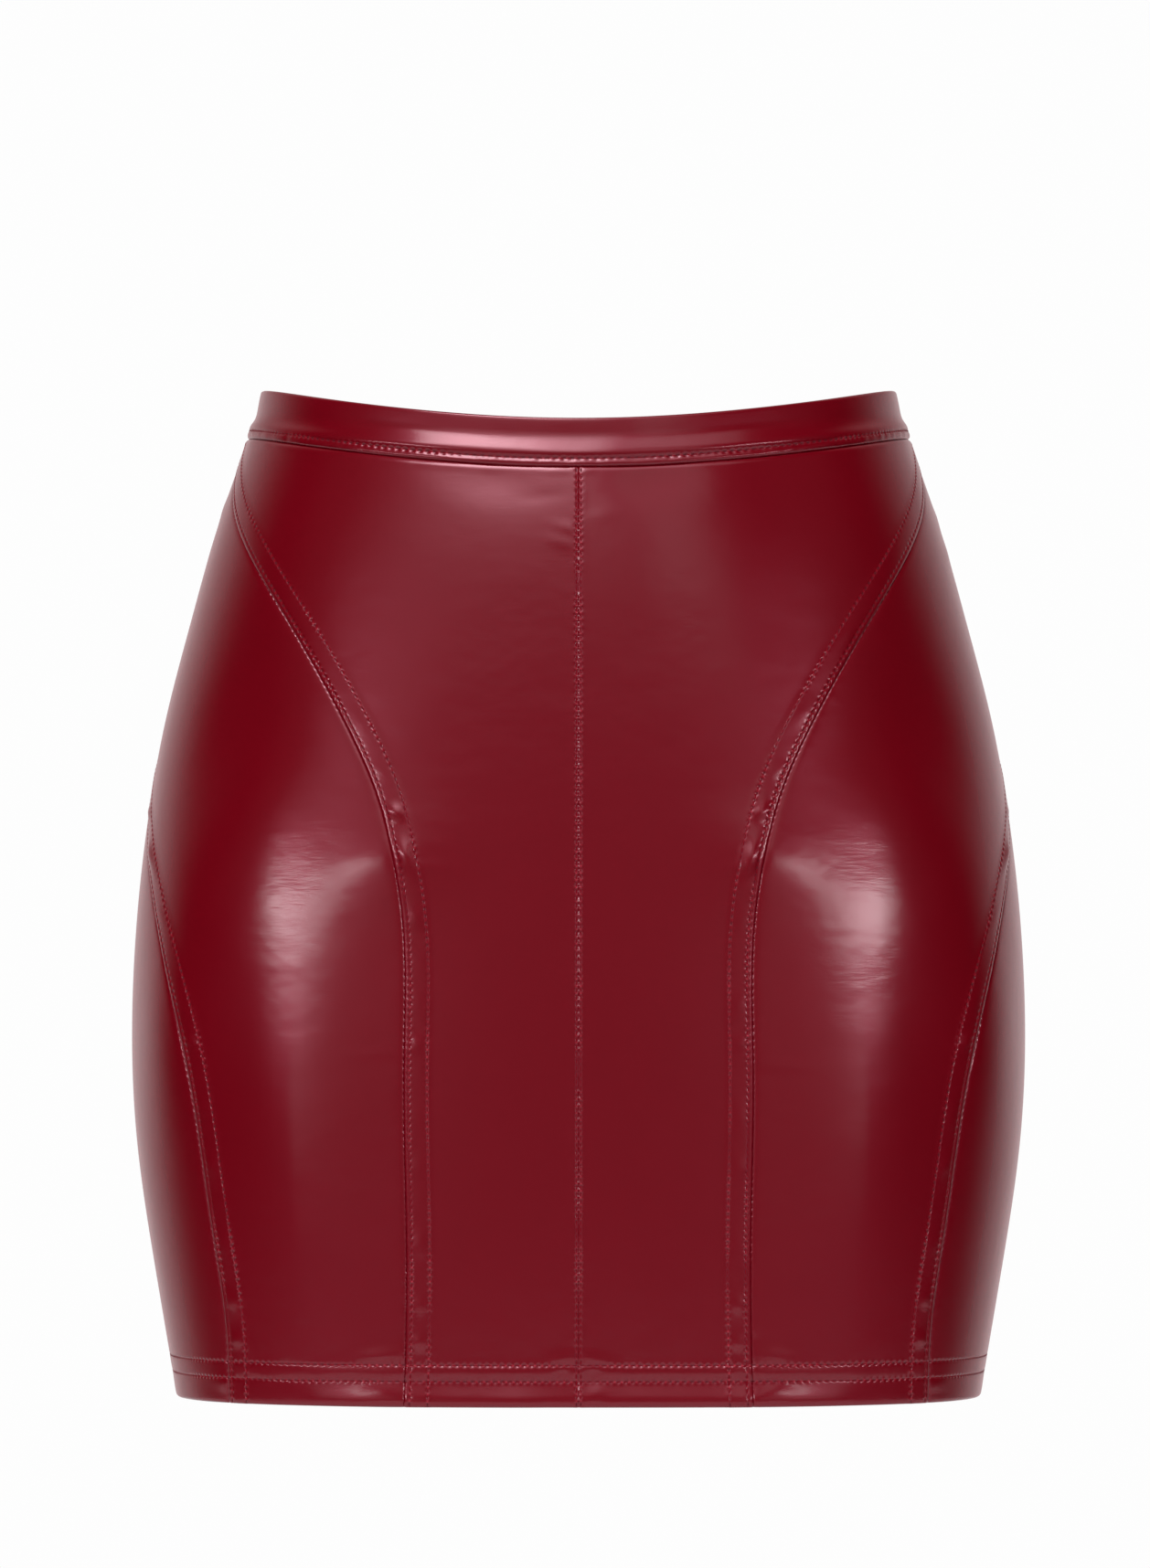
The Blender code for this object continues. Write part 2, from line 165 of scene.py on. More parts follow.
class SplineTable:
    """A table of values over height, with a smooth curve through each column."""

    def __init__(self, columns: tuple[str, ...], rows: tuple[tuple[float, ...], ...]) -> None:
        """Work out the curves.

        Args:
            columns: names of the columns, the height first.
            rows: the table's rows.
        """
        table = np.array(sorted(rows), float)
        self.places = table[:, 0]
        self.values = {name: table[:, i] for i, name in enumerate(columns) if i}
        self.bends = {name: self._bend(values) for name, values in self.values.items()}

    def _bend(self, values: Array) -> Array:
        """Return the natural spline's second derivatives at the table's places."""
        steps = np.diff(self.places)
        slopes = np.diff(values) / steps
        count = len(values)
        matrix = np.eye(count)
        right = np.zeros(count)
        for i in range(1, count - 1):
            matrix[i, i - 1 : i + 2] = (steps[i - 1], 2 * (steps[i - 1] + steps[i]), steps[i])
            right[i] = 6 * (slopes[i] - slopes[i - 1])
        return np.linalg.solve(matrix, right)

    def at(self, column: str, place: Array) -> Array:
        """Return a column's smooth values.

        Args:
            column: the column's name.
            place: heights in mm.

        Returns:
            The values there, in the shape of place.
        """
        place = np.asarray(place, float)
        last = len(self.places) - 2
        i = np.clip(np.searchsorted(self.places, place) - 1, 0, last)
        past = place - self.places[i]
        left = self.places[i + 1] - place
        step = self.places[i + 1] - self.places[i]
        values = self.values[column]
        bends = self.bends[column]
        straight = (values[i] * left + values[i + 1] * past) / step
        low = bends[i] * (left**3 / step - step * left) / 6
        high = bends[i + 1] * (past**3 / step - step * past) / 6
        return straight + low + high


@dataclass(frozen=True)
class Swell:
    """A soft rise or hollow of the worn form, the same on both sides."""

    angle: float
    height: float
    angle_reach: float
    height_reach: float
    rise: float

    def at(self, angle: Array, height: Array) -> Array:
        """Return the swell's rise in mm at angles and heights."""
        across = (np.abs(angle) - self.angle) / self.angle_reach
        along = (height - self.height) / self.height_reach
        return self.rise * np.exp(-(across**2) - along**2)


SWELLS = (
    Swell(43.0, -161.7, 8.9, 22.2, 1.43),  # top of the thigh
    Swell(51.6, -195.5, 22.0, 36.6, 2.10),
    Swell(50.0, -130.8, 11.1, 40.0, -2.00),  # hollow in front of the hip
    Swell(56.5, -128.3, 18.0, 45.7, -2.20),
    Swell(57.9, -249.0, 9.7, 38.0, 2.30),  # outside of the thigh
    Swell(18.9, -41.4, 8.0, 8.7, 0.30),
    Swell(35.3, -274.4, 8.0, 67.1, 2.30),  # front of the thigh
    Swell(22.1, -181.5, 6.6, 21.1, 1.00),
    Swell(13.1, -37.6, 7.1, 9.2, -1.00),
)


class WornForm:
    """The hollow shape that the skirt keeps: sections, dipped waist and seam lines."""

    PROBE = 0.25  # degrees and mm to each side of a point, for the normals
    HALF_STEP = 0.5  # degrees or mm to each side, for lengths and slopes
    FIRST_ANGLE = 90.0  # first guess of a seam's angle, and how often it is mended
    SEAM_ROUNDS = 30

    def __init__(self) -> None:
        """Read the section and seam tables."""
        self.sections = SplineTable(SECTION_COLUMNS, SECTIONS)
        self.front_seam = SplineTable(SEAM_COLUMNS, FRONT_SEAM)
        self.rear_seam = SplineTable(SEAM_COLUMNS, REAR_SEAM)

    def base(self, angle: Array, height: Array) -> Array:
        """Return points of the form without its swells, with a last axis of x, y, z."""
        turn = np.radians(angle)
        front = self.sections.at("front_depth", height)
        back = self.sections.at("back_depth", height)
        mean = (front + back) / 2
        lean = (back - front) / 2
        fullness = 1 + self.sections.at("squareness", height) * np.sin(2 * turn) ** 2
        x = self.sections.at("half_width", height) * np.sin(turn) * fullness
        y = -(mean - lean * np.cos(turn)) * np.cos(turn) * fullness
        return np.stack(np.broadcast_arrays(x, y, np.asarray(height, float)), -1)

    def base_normal(self, angle: Array, height: Array) -> Array:
        """Return outward unit normals of the form without its swells."""
        probe = self.PROBE
        across = self.base(angle + probe, height) - self.base(angle - probe, height)
        up = self.base(angle, height + probe) - self.base(angle, height - probe)
        normal = np.cross(across, up)
        return normal / np.linalg.norm(normal, axis=-1, keepdims=True)

    def swell(self, angle: Array, height: Array) -> Array:
        """Return the sum of the swells in mm."""
        total = np.zeros(np.broadcast(angle, height).shape)
        for swell in SWELLS:
            total = total + swell.at(angle, height)
        return total

    def top_edge(self, angle: Array) -> Array:
        """Return the height of the waistband's top edge."""
        facing = np.cos(np.radians(angle))
        dip = np.where(facing > 0, FRONT_DIP, BACK_DIP)
        return -dip * np.abs(facing) ** DIP_SHARPNESS

    def height_at(self, share: Array, angle: Array) -> Array:
        """Return the height a share of the way from the hem to the waist seam."""
        seam = self.top_edge(angle) - WAISTBAND_DEPTH
        return -SKIRT_LENGTH + (seam + SKIRT_LENGTH) * share

    def per_degree(self, angle: Array, height: Array) -> Array:
        """Return the millimetres of cloth in one degree round the form."""
        half = self.HALF_STEP
        across = self.base(angle + half, height) - self.base(angle - half, height)
        return np.linalg.norm(across, axis=-1)

    def seam_angle(self, seam: SplineTable, share: Array) -> Array:
        """Return the angles at which a seam line crosses rows that follow the waist's dip."""
        angle = np.full_like(share, self.FIRST_ANGLE)
        for _ in range(self.SEAM_ROUNDS):
            angle = seam.at("angle", self.height_at(share, angle))
        return angle

    def beside_seam(self, seam: SplineTable, share: Array, away: float) -> Array:
        """Return angles of a line beside a seam.

        Args:
            seam: the seam's table.
            share: rows, as shares of the panel's height.
            away: square distance from the seam in mm, positive towards the back.

        Returns:
            The line's angle at each row.
        """
        angle = self.seam_angle(seam, share)
        height = self.height_at(share, angle)
        half = self.HALF_STEP
        along = seam.at("angle", height + half) - seam.at("angle", height - half)
        tilt = np.arctan(along * self.per_degree(angle, height))
        return angle + away / np.cos(tilt) / self.per_degree(angle, height)


FORM = WornForm()


def smooth_step(value: Array, low: float, high: float) -> Array:
    """Return 0 below low, 1 above high and a smooth rise between them."""
    t = np.clip((value - low) / (high - low), 0.0, 1.0)
    return t * t * (3 - 2 * t)


def bell(value: Array, centre: float, reach: float) -> Array:
    """Return a bell curve of height 1."""
    return np.exp(-(((value - centre) / reach) ** 2))


def ridges(value: Array, shapes: tuple[tuple[float, float, float], ...]) -> Array:
    """Return the sum of bell curves, each given by its height, centre and reach."""
    return sum(height * bell(value, centre, reach) for height, centre, reach in shapes)


def distances_along(points: Array) -> Array:
    """Return each point's distance from the first, along the line through all of them."""
    steps = np.linalg.norm(np.diff(points, axis=0), axis=1)
    return np.concatenate([[0.0], np.cumsum(steps)])


class Wander:
    """Smooth seeded unevenness along a line, between about -1 and 1."""

    REACH = 1200.0  # length that the drawn values cover, in mm
    SPARE = 4  # values past its end

    def __init__(self, seed: int, spacing: float) -> None:
        """Draw the values.

        Args:
            seed: the seed of the draw.
            spacing: millimetres from one drawn value to the next.
        """
        self.spacing = spacing
        count = int(self.REACH / spacing) + self.SPARE
        self.draws = np.random.default_rng(seed).uniform(-1.0, 1.0, count)

    def at(self, run: Array) -> Array:
        """Return the unevenness at distances along the line."""
        place = np.abs(np.asarray(run, float)) / self.spacing
        index = np.minimum(place.astype(int), len(self.draws) - 2)
        t = place - index
        t = t * t * (3 - 2 * t)
        return self.draws[index] * (1 - t) + self.draws[index + 1] * t


# ---- finishes ----


class NodeTree:
    """A node tree with a short way to add and join nodes."""

    def __init__(self, tree: bpy.types.NodeTree) -> None:
        """Hold the tree's nodes and links."""
        self.nodes = tree.nodes
        self.links = tree.links

    def put(self, value: object, socket: Socket) -> None:
        """Link a socket to an input, or set a number or colour on it."""
        if isinstance(value, Socket):
            self.links.new(value, socket)
        else:
            socket.default_value = value

    def node(self, kind: str, **settings: object) -> bpy.types.Node:
        """Add a node, setting its attributes and, by socket name, its inputs."""
        made = self.nodes.new(kind)
        for name, value in settings.items():
            if hasattr(made, name):
                setattr(made, name, value)
            else:
                self.put(value, made.inputs[name.replace("_", " ")])
        return made

    def fill(self, made: bpy.types.Node, *values: object) -> Socket:
        """Put sockets or values in a node's inputs in order and return its first output."""
        for value, socket in zip(values, made.inputs):
            self.put(value, socket)
        return made.outputs[0]

    def math(self, operation: str, *values: object, clamp: bool = False) -> Socket:
        """Add a Math node on sockets or numbers and return its result."""
        made = self.node("ShaderNodeMath", operation=operation, use_clamp=clamp)
        return self.fill(made, *values)

    def product(self, *values: object) -> Socket:
        """Return the product of sockets and numbers."""
        result = values[0]
        for value in values[1:]:
            result = self.math("MULTIPLY", result, value)
        return result


class NodeMaterial(NodeTree):
    """A material on a Principled shader, with noise, bumps and mixed colours."""

    NOISE_ROUGHNESS = 0.55
    COLOUR_SOCKETS = (6, 7)  # the two colours among a Mix node's inputs
    COLOUR_RESULT = 2

    def __init__(self, name: str) -> None:
        """Start a material of that name."""
        self.material = bpy.data.materials.new(name)
        self.material.use_nodes = True
        super().__init__(self.material.node_tree)
        self.shader = self.nodes["Principled BSDF"]

    def set(self, **values: object) -> None:
        """Set or link the shader's inputs by name, with underscores for spaces."""
        for name, value in values.items():
            socket = name.replace("_", " ").title().replace("Ior", "IOR")
            self.put(value, self.shader.inputs[socket])

    def noise(self, detail: float, scale: float, stretch: Stretch = (1.0, 1.0, 1.0)) -> Socket:
        """Add noise in object space.

        Args:
            detail: the noise's detail.
            scale: the noise's own scale.
            stretch: scale of the coordinates on each axis.

        Returns:
            The noise's value.
        """
        place = self.node("ShaderNodeTexCoord").outputs["Object"]
        place = self.node("ShaderNodeMapping", Vector=place, Scale=stretch).outputs["Vector"]
        made = self.node("ShaderNodeTexNoise", Vector=place, Scale=scale, Detail=detail)
        made.inputs["Roughness"].default_value = self.NOISE_ROUGHNESS
        return made.outputs["Fac"]

    def above(self, value: Socket, floor: float, gain: float) -> Socket:
        """Return how far a value is above a floor, times a gain and kept from 0 to 1."""
        return self.math("MULTIPLY", self.math("SUBTRACT", value, floor), gain, clamp=True)

    def bump(self, height: Socket, strength: float, distance: float, **under: Socket) -> Socket:
        """Add a Bump node, on top of another's if Normal is given, and return its normal."""
        made = self.node("ShaderNodeBump", Height=height, Strength=strength, **under)
        made.inputs["Distance"].default_value = distance
        return made.outputs["Normal"]

    def mix(self, share: Socket, first: object, second: object) -> Socket:
        """Mix two colours or colour sockets by a share and return the result."""
        made = self.node("ShaderNodeMix", data_type="RGBA", Factor=share)
        for value, number in zip((first, second), self.COLOUR_SOCKETS):
            self.put(value, made.inputs[number])
        return made.outputs[self.COLOUR_RESULT]


@dataclass(frozen=True)
class CoatedLeather:
    """Glossy coated leather with fine cross creases, a soft grain and sewn rows.

    Each noise has its detail, scale and stretch. Bump heights are in metres, the rest in mm.
    """

    name: str = "coated_leather"
    colour: Colour = (0.127, 0.0008, 0.0048, 1.0)
    deep_colour: Colour = (0.120, 0.0007, 0.0043, 1.0)
    # painted shade: the needle holes are coloured darker
    stitched_colour: Colour = (0.062, 0.0002, 0.0018, 1.0)
    # painted highlight: a lighter pink painted on the lumps between needle holes
    stretched_colour: Colour = (0.400, 0.0200, 0.0360, 1.0)
    highlight_tint: Colour = (1.0, 0.30, 0.44, 1.0)
    ior: float = 1.5
    roughness: float = 0.25
    hole_roughness: float = 0.5  # added in a needle hole
    coat: float = 0.42
    coat_roughness: float = 0.12
    clouds: Noise = (3.0, 38.0)
    dents: Noise = (2.0, 1.0, (45.0, 45.0, 70.0))
    dent_height: float = 0.00014
    creases: Noise = (2.0, 1.0, (150.0, 150.0, 1000.0))
    crease_height: float = 0.00004
    patches: Noise = (1.0, 1.0, (42.0, 42.0, 60.0))  # where the creases show
    patch_floor: float = 0.42
    patch_gain: float = 5.0
    grain: Noise = (1.0, 2300.0)
    grain_height: float = 0.00002
    fine_strength: float = 0.5  # of the creases and the grain
    slack: Noise = (1.0, 55.0)  # how loose the leather is along the rows
    slack_floor: float = 0.30
    slack_gain: float = 2.6
    groove_depth: float = 0.05  # of a row of stitches
    groove_reach: float = 0.34
    hole_depth: float = 0.06  # of a needle hole
    hole_share: float = 0.58  # of a hole along the row, and its swing
    hole_swing: float = 0.42
    lump_height: float = 0.13  # of the leather between two holes
    lump_reach: float = 0.80
    crest_share: float = 0.85  # of the painted highlight colour on a lump

    def build(self) -> bpy.types.Material:
        """Return the material."""
        made = NodeMaterial(self.name)
        made.set(ior=self.ior, specular_tint=self.highlight_tint)
        made.set(coat_ior=self.ior, coat_roughness=self.coat_roughness)
        hole, lump_highlight, sewn = self.sewing(made)
        colour = made.mix(made.noise(*self.clouds), self.deep_colour, self.colour)
        # the lumps get a lighter colour as a painted highlight
        colour = made.mix(lump_highlight, colour, self.stretched_colour)
        # the needle holes get a darker colour as painted shade
        made.set(base_color=made.mix(hole, colour, self.stitched_colour))
        made.set(roughness=made.math("MULTIPLY_ADD", hole, self.hole_roughness, self.roughness))
        made.set(coat_weight=made.product(made.math("SUBTRACT", 1.0, hole), self.coat))
        patches = made.above(made.noise(*self.patches), self.patch_floor, self.patch_gain)
        creases = made.product(made.noise(*self.creases), patches)
        grain = made.noise(*self.grain)
        normal = made.bump(made.noise(*self.dents), 1.0, self.dent_height)
        normal = made.bump(creases, self.fine_strength, self.crease_height, Normal=normal)
        normal = made.bump(grain, self.fine_strength, self.grain_height, Normal=normal)
        normal = made.bump(sewn, 1.0, MM, Normal=normal)
        made.set(normal=normal, coat_normal=normal)
        return made.material

    def sewing(self, made: NodeMaterial) -> tuple[Socket, ...]:
        """Add the needle holes and the lumps between them along each row of stitches.

        Args:
            made: the material, on meshes that carry the attributes SEAM_ROWS and LEVEL_ROWS.

        Returns:
            How far a point lies in a needle hole and how much painted highlight colour it gets on
            a lump, both from 0 to 1, and the leather's height in mm.
        """
        slack = made.above(made.noise(*self.slack), self.slack_floor, self.slack_gain)
        families = [self.row(made, names, slack) for names in (SEAM_ROWS, LEVEL_ROWS)]
        operations = ("MAXIMUM", "MAXIMUM", "ADD")
        return tuple(made.math(how, *pair) for how, pair in zip(operations, zip(*families)))

    def row(self, made: NodeMaterial, names: tuple[str, str], slack: Socket) -> tuple[Socket, ...]:
        """Add the holes and lumps of one family of rows.

        Args:
            made: the material.
            names: the attributes with the distance to a row and the place along it.
            slack: how loose the leather is, from 0 to 1.

        Returns:
            The share of hole, the share of painted highlight colour on the lump and the height in
            mm.
        """
        stored = [made.node("ShaderNodeAttribute", attribute_name=name) for name in names]
        gap, run = (node.outputs["Fac"] for node in stored)
        wave = made.math("COSINE", made.product(run, 2 * math.pi / STITCH_PITCH))
        square = made.product(gap, gap)
        groove, spread = (
            made.math("EXPONENT", made.product(square, -1 / reach**2))
            for reach in (self.groove_reach, self.lump_reach)
        )
        hole = made.math("MULTIPLY_ADD", wave, -self.hole_swing, self.hole_share)
        hole = made.product(groove, hole)
        height = made.product(spread, wave, slack, self.lump_height)
        height = made.math("ADD", height, made.product(hole, -self.hole_depth))
        height = made.math("ADD", height, made.product(groove, -self.groove_depth))
        # how much painted highlight colour a lump gets
        lump_highlight = made.math("MULTIPLY", made.product(groove, wave), self.crest_share, clamp=True)
        return hole, made.product(lump_highlight, slack), height


@dataclass(frozen=True)
class TexturedFinish:
    """An even finish whose texture is a fine bump."""

    name: str
    noise: Noise  # detail, scale and stretch
    strength: float
    height: float  # in metres
    sockets: dict[str, object]

    def build(self) -> bpy.types.Material:
        """Return the material."""
        made = NodeMaterial(self.name)
        made.set(**self.sockets)
        made.set(normal=made.bump(made.noise(*self.noise), self.strength, self.height))
        return made.material


# matte brushed knit on the inside of the leather
KNIT_BACKING = TexturedFinish(
    name="leather_backing",
    noise=(2.0, 1.0, (900.0, 900.0, 1500.0)),
    strength=0.8,
    height=0.00012,
    sockets=dict(
        base_color=(0.085, 0.010, 0.016, 1.0),
        roughness=0.92,
        sheen_weight=0.35,
        sheen_roughness=0.5,
        sheen_tint=(0.8, 0.35, 0.38, 1.0),
    ),
)
# twisted polyester thread, dyed to match
SEWING_THREAD = TexturedFinish(
    name="sewing_thread",
    noise=(1.0, 1.0, (2500.0, 2500.0, 2500.0)),
    strength=0.6,
    height=0.00005,
    sockets=dict(
        base_color=(0.165, 0.0012, 0.0065, 1.0),
        roughness=0.55,
        specular_ior_level=0.12,
        specular_tint=(1.0, 0.3, 0.4, 1.0),
    ),
)
# close woven polyester tape
WOVEN_TAPE = TexturedFinish(
    name="woven_tape",
    noise=(1.0, 1.0, (2600.0, 2600.0, 900.0)),
    strength=0.7,
    height=0.0001,
    sockets=dict(
        base_color=(0.060, 0.006, 0.010, 1.0),
        roughness=0.8,
        sheen_weight=0.3,
        sheen_roughness=0.45,
    ),
)
# zinc zip parts, dip-enamelled to match
ENAMELLED_METAL = TexturedFinish(
    name="enamelled_metal",
    noise=(2.0, 1.0, (700.0, 700.0, 700.0)),
    strength=0.3,
    height=0.00003,
    sockets=dict(
        base_color=(0.110, 0.006, 0.012, 1.0),
        roughness=0.34,
        metallic=0.35,
        coat_weight=0.6,
        coat_roughness=0.18,
    ),
)


@dataclass
class Finishes:
    """Every material of the skirt, made once."""

    leather: bpy.types.Material = field(default_factory=CoatedLeather().build)
    backing: bpy.types.Material = field(default_factory=KNIT_BACKING.build)
    thread: bpy.types.Material = field(default_factory=SEWING_THREAD.build)
    tape: bpy.types.Material = field(default_factory=WOVEN_TAPE.build)
    metal: bpy.types.Material = field(default_factory=ENAMELLED_METAL.build)


# ---- mesh helpers ----

SHARP_DEGREES = 50.0  # edges that turn more are shaded sharp


def make_mesh(
    name: str,
    points: Array,
    faces: Array,
    materials: list[bpy.types.Material],
    slots: Array | None = None,
) -> bpy.types.Object:
    """Make a linked mesh object from points in mm.

    Args:
        name: the object's name.
        points: vertices, in mm.
        faces: quads as rows of vertex numbers.
        materials: the material slots.
        slots: each face's slot, or None for the first.

    Returns:
        The object.
    """
    mesh = bpy.data.meshes.new(name)
    mesh.from_pydata((points * MM).tolist(), [], faces.tolist())
    for material in materials:
        mesh.materials.append(material)
    if slots is not None:
        mesh.polygons.foreach_set("material_index", slots.astype(np.int32))
    mesh.validate()
    mesh.update()
    mesh.shade_smooth()
    mesh.set_sharp_from_angle(angle=math.radians(SHARP_DEGREES))
    thing = bpy.data.objects.new(name, mesh)
    bpy.context.scene.collection.objects.link(thing)
    return thing


def grid_faces(rows: int, columns: int, closed: bool = False, start: int = 0) -> Array:
    """Return the quads of a grid of vertices.

    Args:
        rows: number of rows.
        columns: number of vertices in a row.
        closed: whether each row is a ring.
        start: number of the grid's first vertex.

    Returns:
        The quads, facing out where rows go up and columns go right as seen from outside.
    """
    index = np.arange(rows * columns).reshape(rows, columns) + start
    if closed:
        index = np.concatenate([index, index[:, :1]], 1)
    corners = (index[:-1, :-1], index[:-1, 1:], index[1:, 1:], index[1:, :-1])
    return np.stack(corners, -1).reshape(-1, 4)


def shell_mesh(
    name: str,
    outer: Array,
    inner: Array,
    finishes: Finishes,
    leather_inside: Array,
) -> bpy.types.Object:
    """Make a thin closed shell from an outer and an inner grid of points.

    Args:
        name: the object's name.
        outer: grid of outer points, rows upwards, columns to the right as seen from outside.
        inner: grid of inner points, the same shape.
        finishes: the skirt's materials.
        leather_inside: for each row of quads, whether its inner face shows leather.

    Returns:
        The object.
    """
    rows, columns = outer.shape[:2]
    count = rows * columns
    outside = grid_faces(rows, columns)
    inside = grid_faces(rows, columns, start=count)[:, ::-1]
    index = np.arange(count).reshape(rows, columns)
    rim = np.concatenate([index[0, :], index[1:, -1], index[-1, -2::-1], index[-2:0:-1, 0]])
    nxt = np.roll(rim, -1)
    edge = np.stack([rim + count, nxt + count, nxt, rim], -1)
    inside_slot = np.repeat(np.where(leather_inside, 0, 1), columns - 1)
    slots = np.concatenate([np.zeros(len(outside)), inside_slot, np.zeros(len(edge))])
    points = np.concatenate([outer.reshape(-1, 3), inner.reshape(-1, 3)])
    faces = np.concatenate([outside, inside, edge])
    return make_mesh(name, points, faces, [finishes.leather, finishes.backing], slots)


def mark(thing: bpy.types.Object, name: str, values: Array) -> None:
    """Store a value for each vertex of a piece as a mesh attribute."""
    attribute = thing.data.attributes.new(name, "FLOAT", "POINT")
    attribute.data.foreach_set("value", values.astype(np.float32))


# ---- seams and relief ----


@dataclass
class SeamLine:
    """A seam as a line of points on the form."""

    angles: Array
    heights: Array
    points: Array = field(init=False)
    runs: Array = field(init=False)

    BLOCK = 3000  # points measured at a time

    def __post_init__(self) -> None:
        """Work out the line's points and the distance along it."""
        self.points = FORM.base(self.angles, self.heights)
        self.runs = distances_along(self.points)

    def nearest(self, points: Array) -> tuple[Array, Array]:
        """Return each point's distance to the line and its place along it, in mm."""
        away = np.empty(len(points))
        along = np.empty(len(points))
        squares = (self.points**2).sum(1)
        for start in range(0, len(points), self.BLOCK):
            block = slice(start, start + self.BLOCK)
            part = points[block]
            gaps = squares[None] - 2 * part @ self.points.T + (part**2).sum(1)[:, None]
            index = gaps.argmin(1)
            away[block] = np.linalg.norm(part - self.points[index], axis=1)
            along[block] = self.runs[index]
        return away, along


class SeamKind(Enum):
    """What an edge of a panel is sewn like."""

    TWIN = "twin rows on this side, over the turned allowance"
    PLAIN = "the flat side of a twin-row seam"
    EDGED = "pressed open, one row close to the edge"


@dataclass
class PanelEdge:
    """One sewn side edge of a panel, and the relief of the face beside it.

    Sizes are in mm. CROWN, GROOVES and GATHERS hold ridges, as ridges() takes them.
    """

    line: SeamLine
    angles: Array
    kind: SeamKind
    seed: int

    NEAR, FAR = TWIN_ROWS
    MIDDLE = (NEAR + FAR) / 2
    # distances from the edge at which the panel's first columns stand
    COLUMNS = {
        SeamKind.TWIN: (
            (0, 0.2, 0.5, 0.9, 1.3, 1.65, 2.0, 2.35, 2.8, 3.5, 4.3, 5.2, 6.2, 7.2)
            + (7.9, 8.35, 8.7, 9.05, 9.4, 9.9, 10.6, 11.6, 13.0)
        ),
        SeamKind.EDGED: (0, 0.2, 0.45, 0.65, 0.85, 1.1, 1.5, 2.1, 3.0, 4.0, 5.4),
        SeamKind.PLAIN: (0, 0.25, 0.55, 0.95, 1.5, 2.3, 3.4, 5.0),
    }
    ROLL_DEPTH = 0.42  # of the rolled edge at the ditch
    ROLL_REACH = 0.42
    GATHERS = {
        SeamKind.TWIN: ((0.07, NEAR + 0.4, 1.2), (0.07, FAR, 1.3)),
        SeamKind.EDGED: ((0.10, EDGE_ROW + 0.4, 1.1),),
        SeamKind.PLAIN: ((0.07, 1.8, 2.0),),
    }
    GATHER_SPACING = 3.3
    STRENGTH = 0.55  # of the gathers, and its swing
    STRENGTH_SWING = 0.45
    STRENGTH_SPACING = 23.0
    UNGATHERED = 0.7  # width of the calm strip beside the ditch
    FLAT_DEPTH = 0.26  # dip of the flat side
    FLAT_REACH = 1.4
    FLAT_ROW = -0.35  # the flat side's nearest row, across the ditch
    PRESSED_RISE = 0.07  # over the allowance that is pressed open
    PRESSED_EDGE = (-4.4, -1.3)
    ALLOWANCE_RISE = 0.20  # over the turned allowance
    ALLOWANCE_EDGE = (-(FAR + 1.9), -(FAR - 0.3))
    CROWN = (0.05, MIDDLE, 2.6)
    GROOVES = ((-0.07, NEAR, 0.5), (-0.07, FAR, 0.5))
    SLACK_SPACING = 9.0
    SLACK_SHARE = 0.35  # of the slack that swells the puffs
    PUFF_PLACE = MIDDLE - 0.4
    PUFF_WIDTH = 2.7
    # height, reach and rise of the puffs between the two rows
    PUFFS = (
        (-96.0, 5.0, 0.14),
        (-128.0, 6.0, 0.11),
        (-149.0, 3.2, 0.15),
        (-164.8, 2.6, 0.62),
        (-182.5, 5.6, 1.15),
        (-206.0, 4.0, 0.26),
        (-238.0, 5.0, 0.16),
        (-253.5, 2.8, 0.34),
        (-282.0, 6.0, 0.20),
        (-301.0, 4.0, 0.26),
        (-331.0, 5.5, 0.22),
        (-353.0, 3.6, 0.30),
        (-368.0, 2.6, 0.30),
    )

    def relief(self, points: Array) -> Array:
        """Return the relief in mm at points near the form."""
        away, run = self.line.nearest(points)
        swing = self.STRENGTH_SWING * Wander(self.seed, self.STRENGTH_SPACING).at(run)
        loose = Wander(self.seed + 1, self.GATHER_SPACING).at(run)
        gather = (self.STRENGTH + swing) * loose * ridges(away, self.GATHERS[self.kind])
        roll = -self.ROLL_DEPTH * np.exp(-away / self.ROLL_REACH)
        if self.kind is SeamKind.TWIN:
            return roll + self.allowance(away, run, points[:, 2]) + gather
        gather = gather * smooth_step(away, 0.0, self.UNGATHERED)
        if self.kind is SeamKind.EDGED:
            return roll + self.PRESSED_RISE * smooth_step(-away, *self.PRESSED_EDGE) + gather
        return roll - self.FLAT_DEPTH * np.exp(-away / self.FLAT_REACH) + gather

    def allowance(self, away: Array, run: Array, height: Array) -> Array:
        """Return the relief over the turned allowance under the twin rows.

        Args:
            away: distances from the ditch in mm.
            run: distances along the seam in mm.
            height: heights in mm.

        Returns:
            The rise with its crown and puffs, and the grooves along the rows, in mm.
        """
        slack = Wander(self.seed + 2, self.SLACK_SPACING).at(run)
        rise = self.ALLOWANCE_RISE * smooth_step(-away, *self.ALLOWANCE_EDGE)
        between = bell(away, self.PUFF_PLACE, self.PUFF_WIDTH)
        for place, reach, puff in self.PUFFS:
            swollen = puff * (1 + self.SLACK_SHARE * slack) * bell(height, place, reach)
            rise = rise + swollen * between
        crown = ridges(away, (self.CROWN,)) * (1 + slack)
        return rise + crown + ridges(away, self.GROOVES)

    def rows(self, points: Array) -> list[tuple[Array, Array]]:
        """Return, for each row beside the seam, the distance to it and the run along it.

        Between two rows both distances are below zero, so that they meet without a jump.
        """
        away, run = self.line.nearest(points)
        if self.kind is SeamKind.TWIN:
            return [(self.NEAR - away, run), (away - self.FAR, run)]
        place = EDGE_ROW if self.kind is SeamKind.EDGED else self.FLAT_ROW
        return [(away - place, run)]


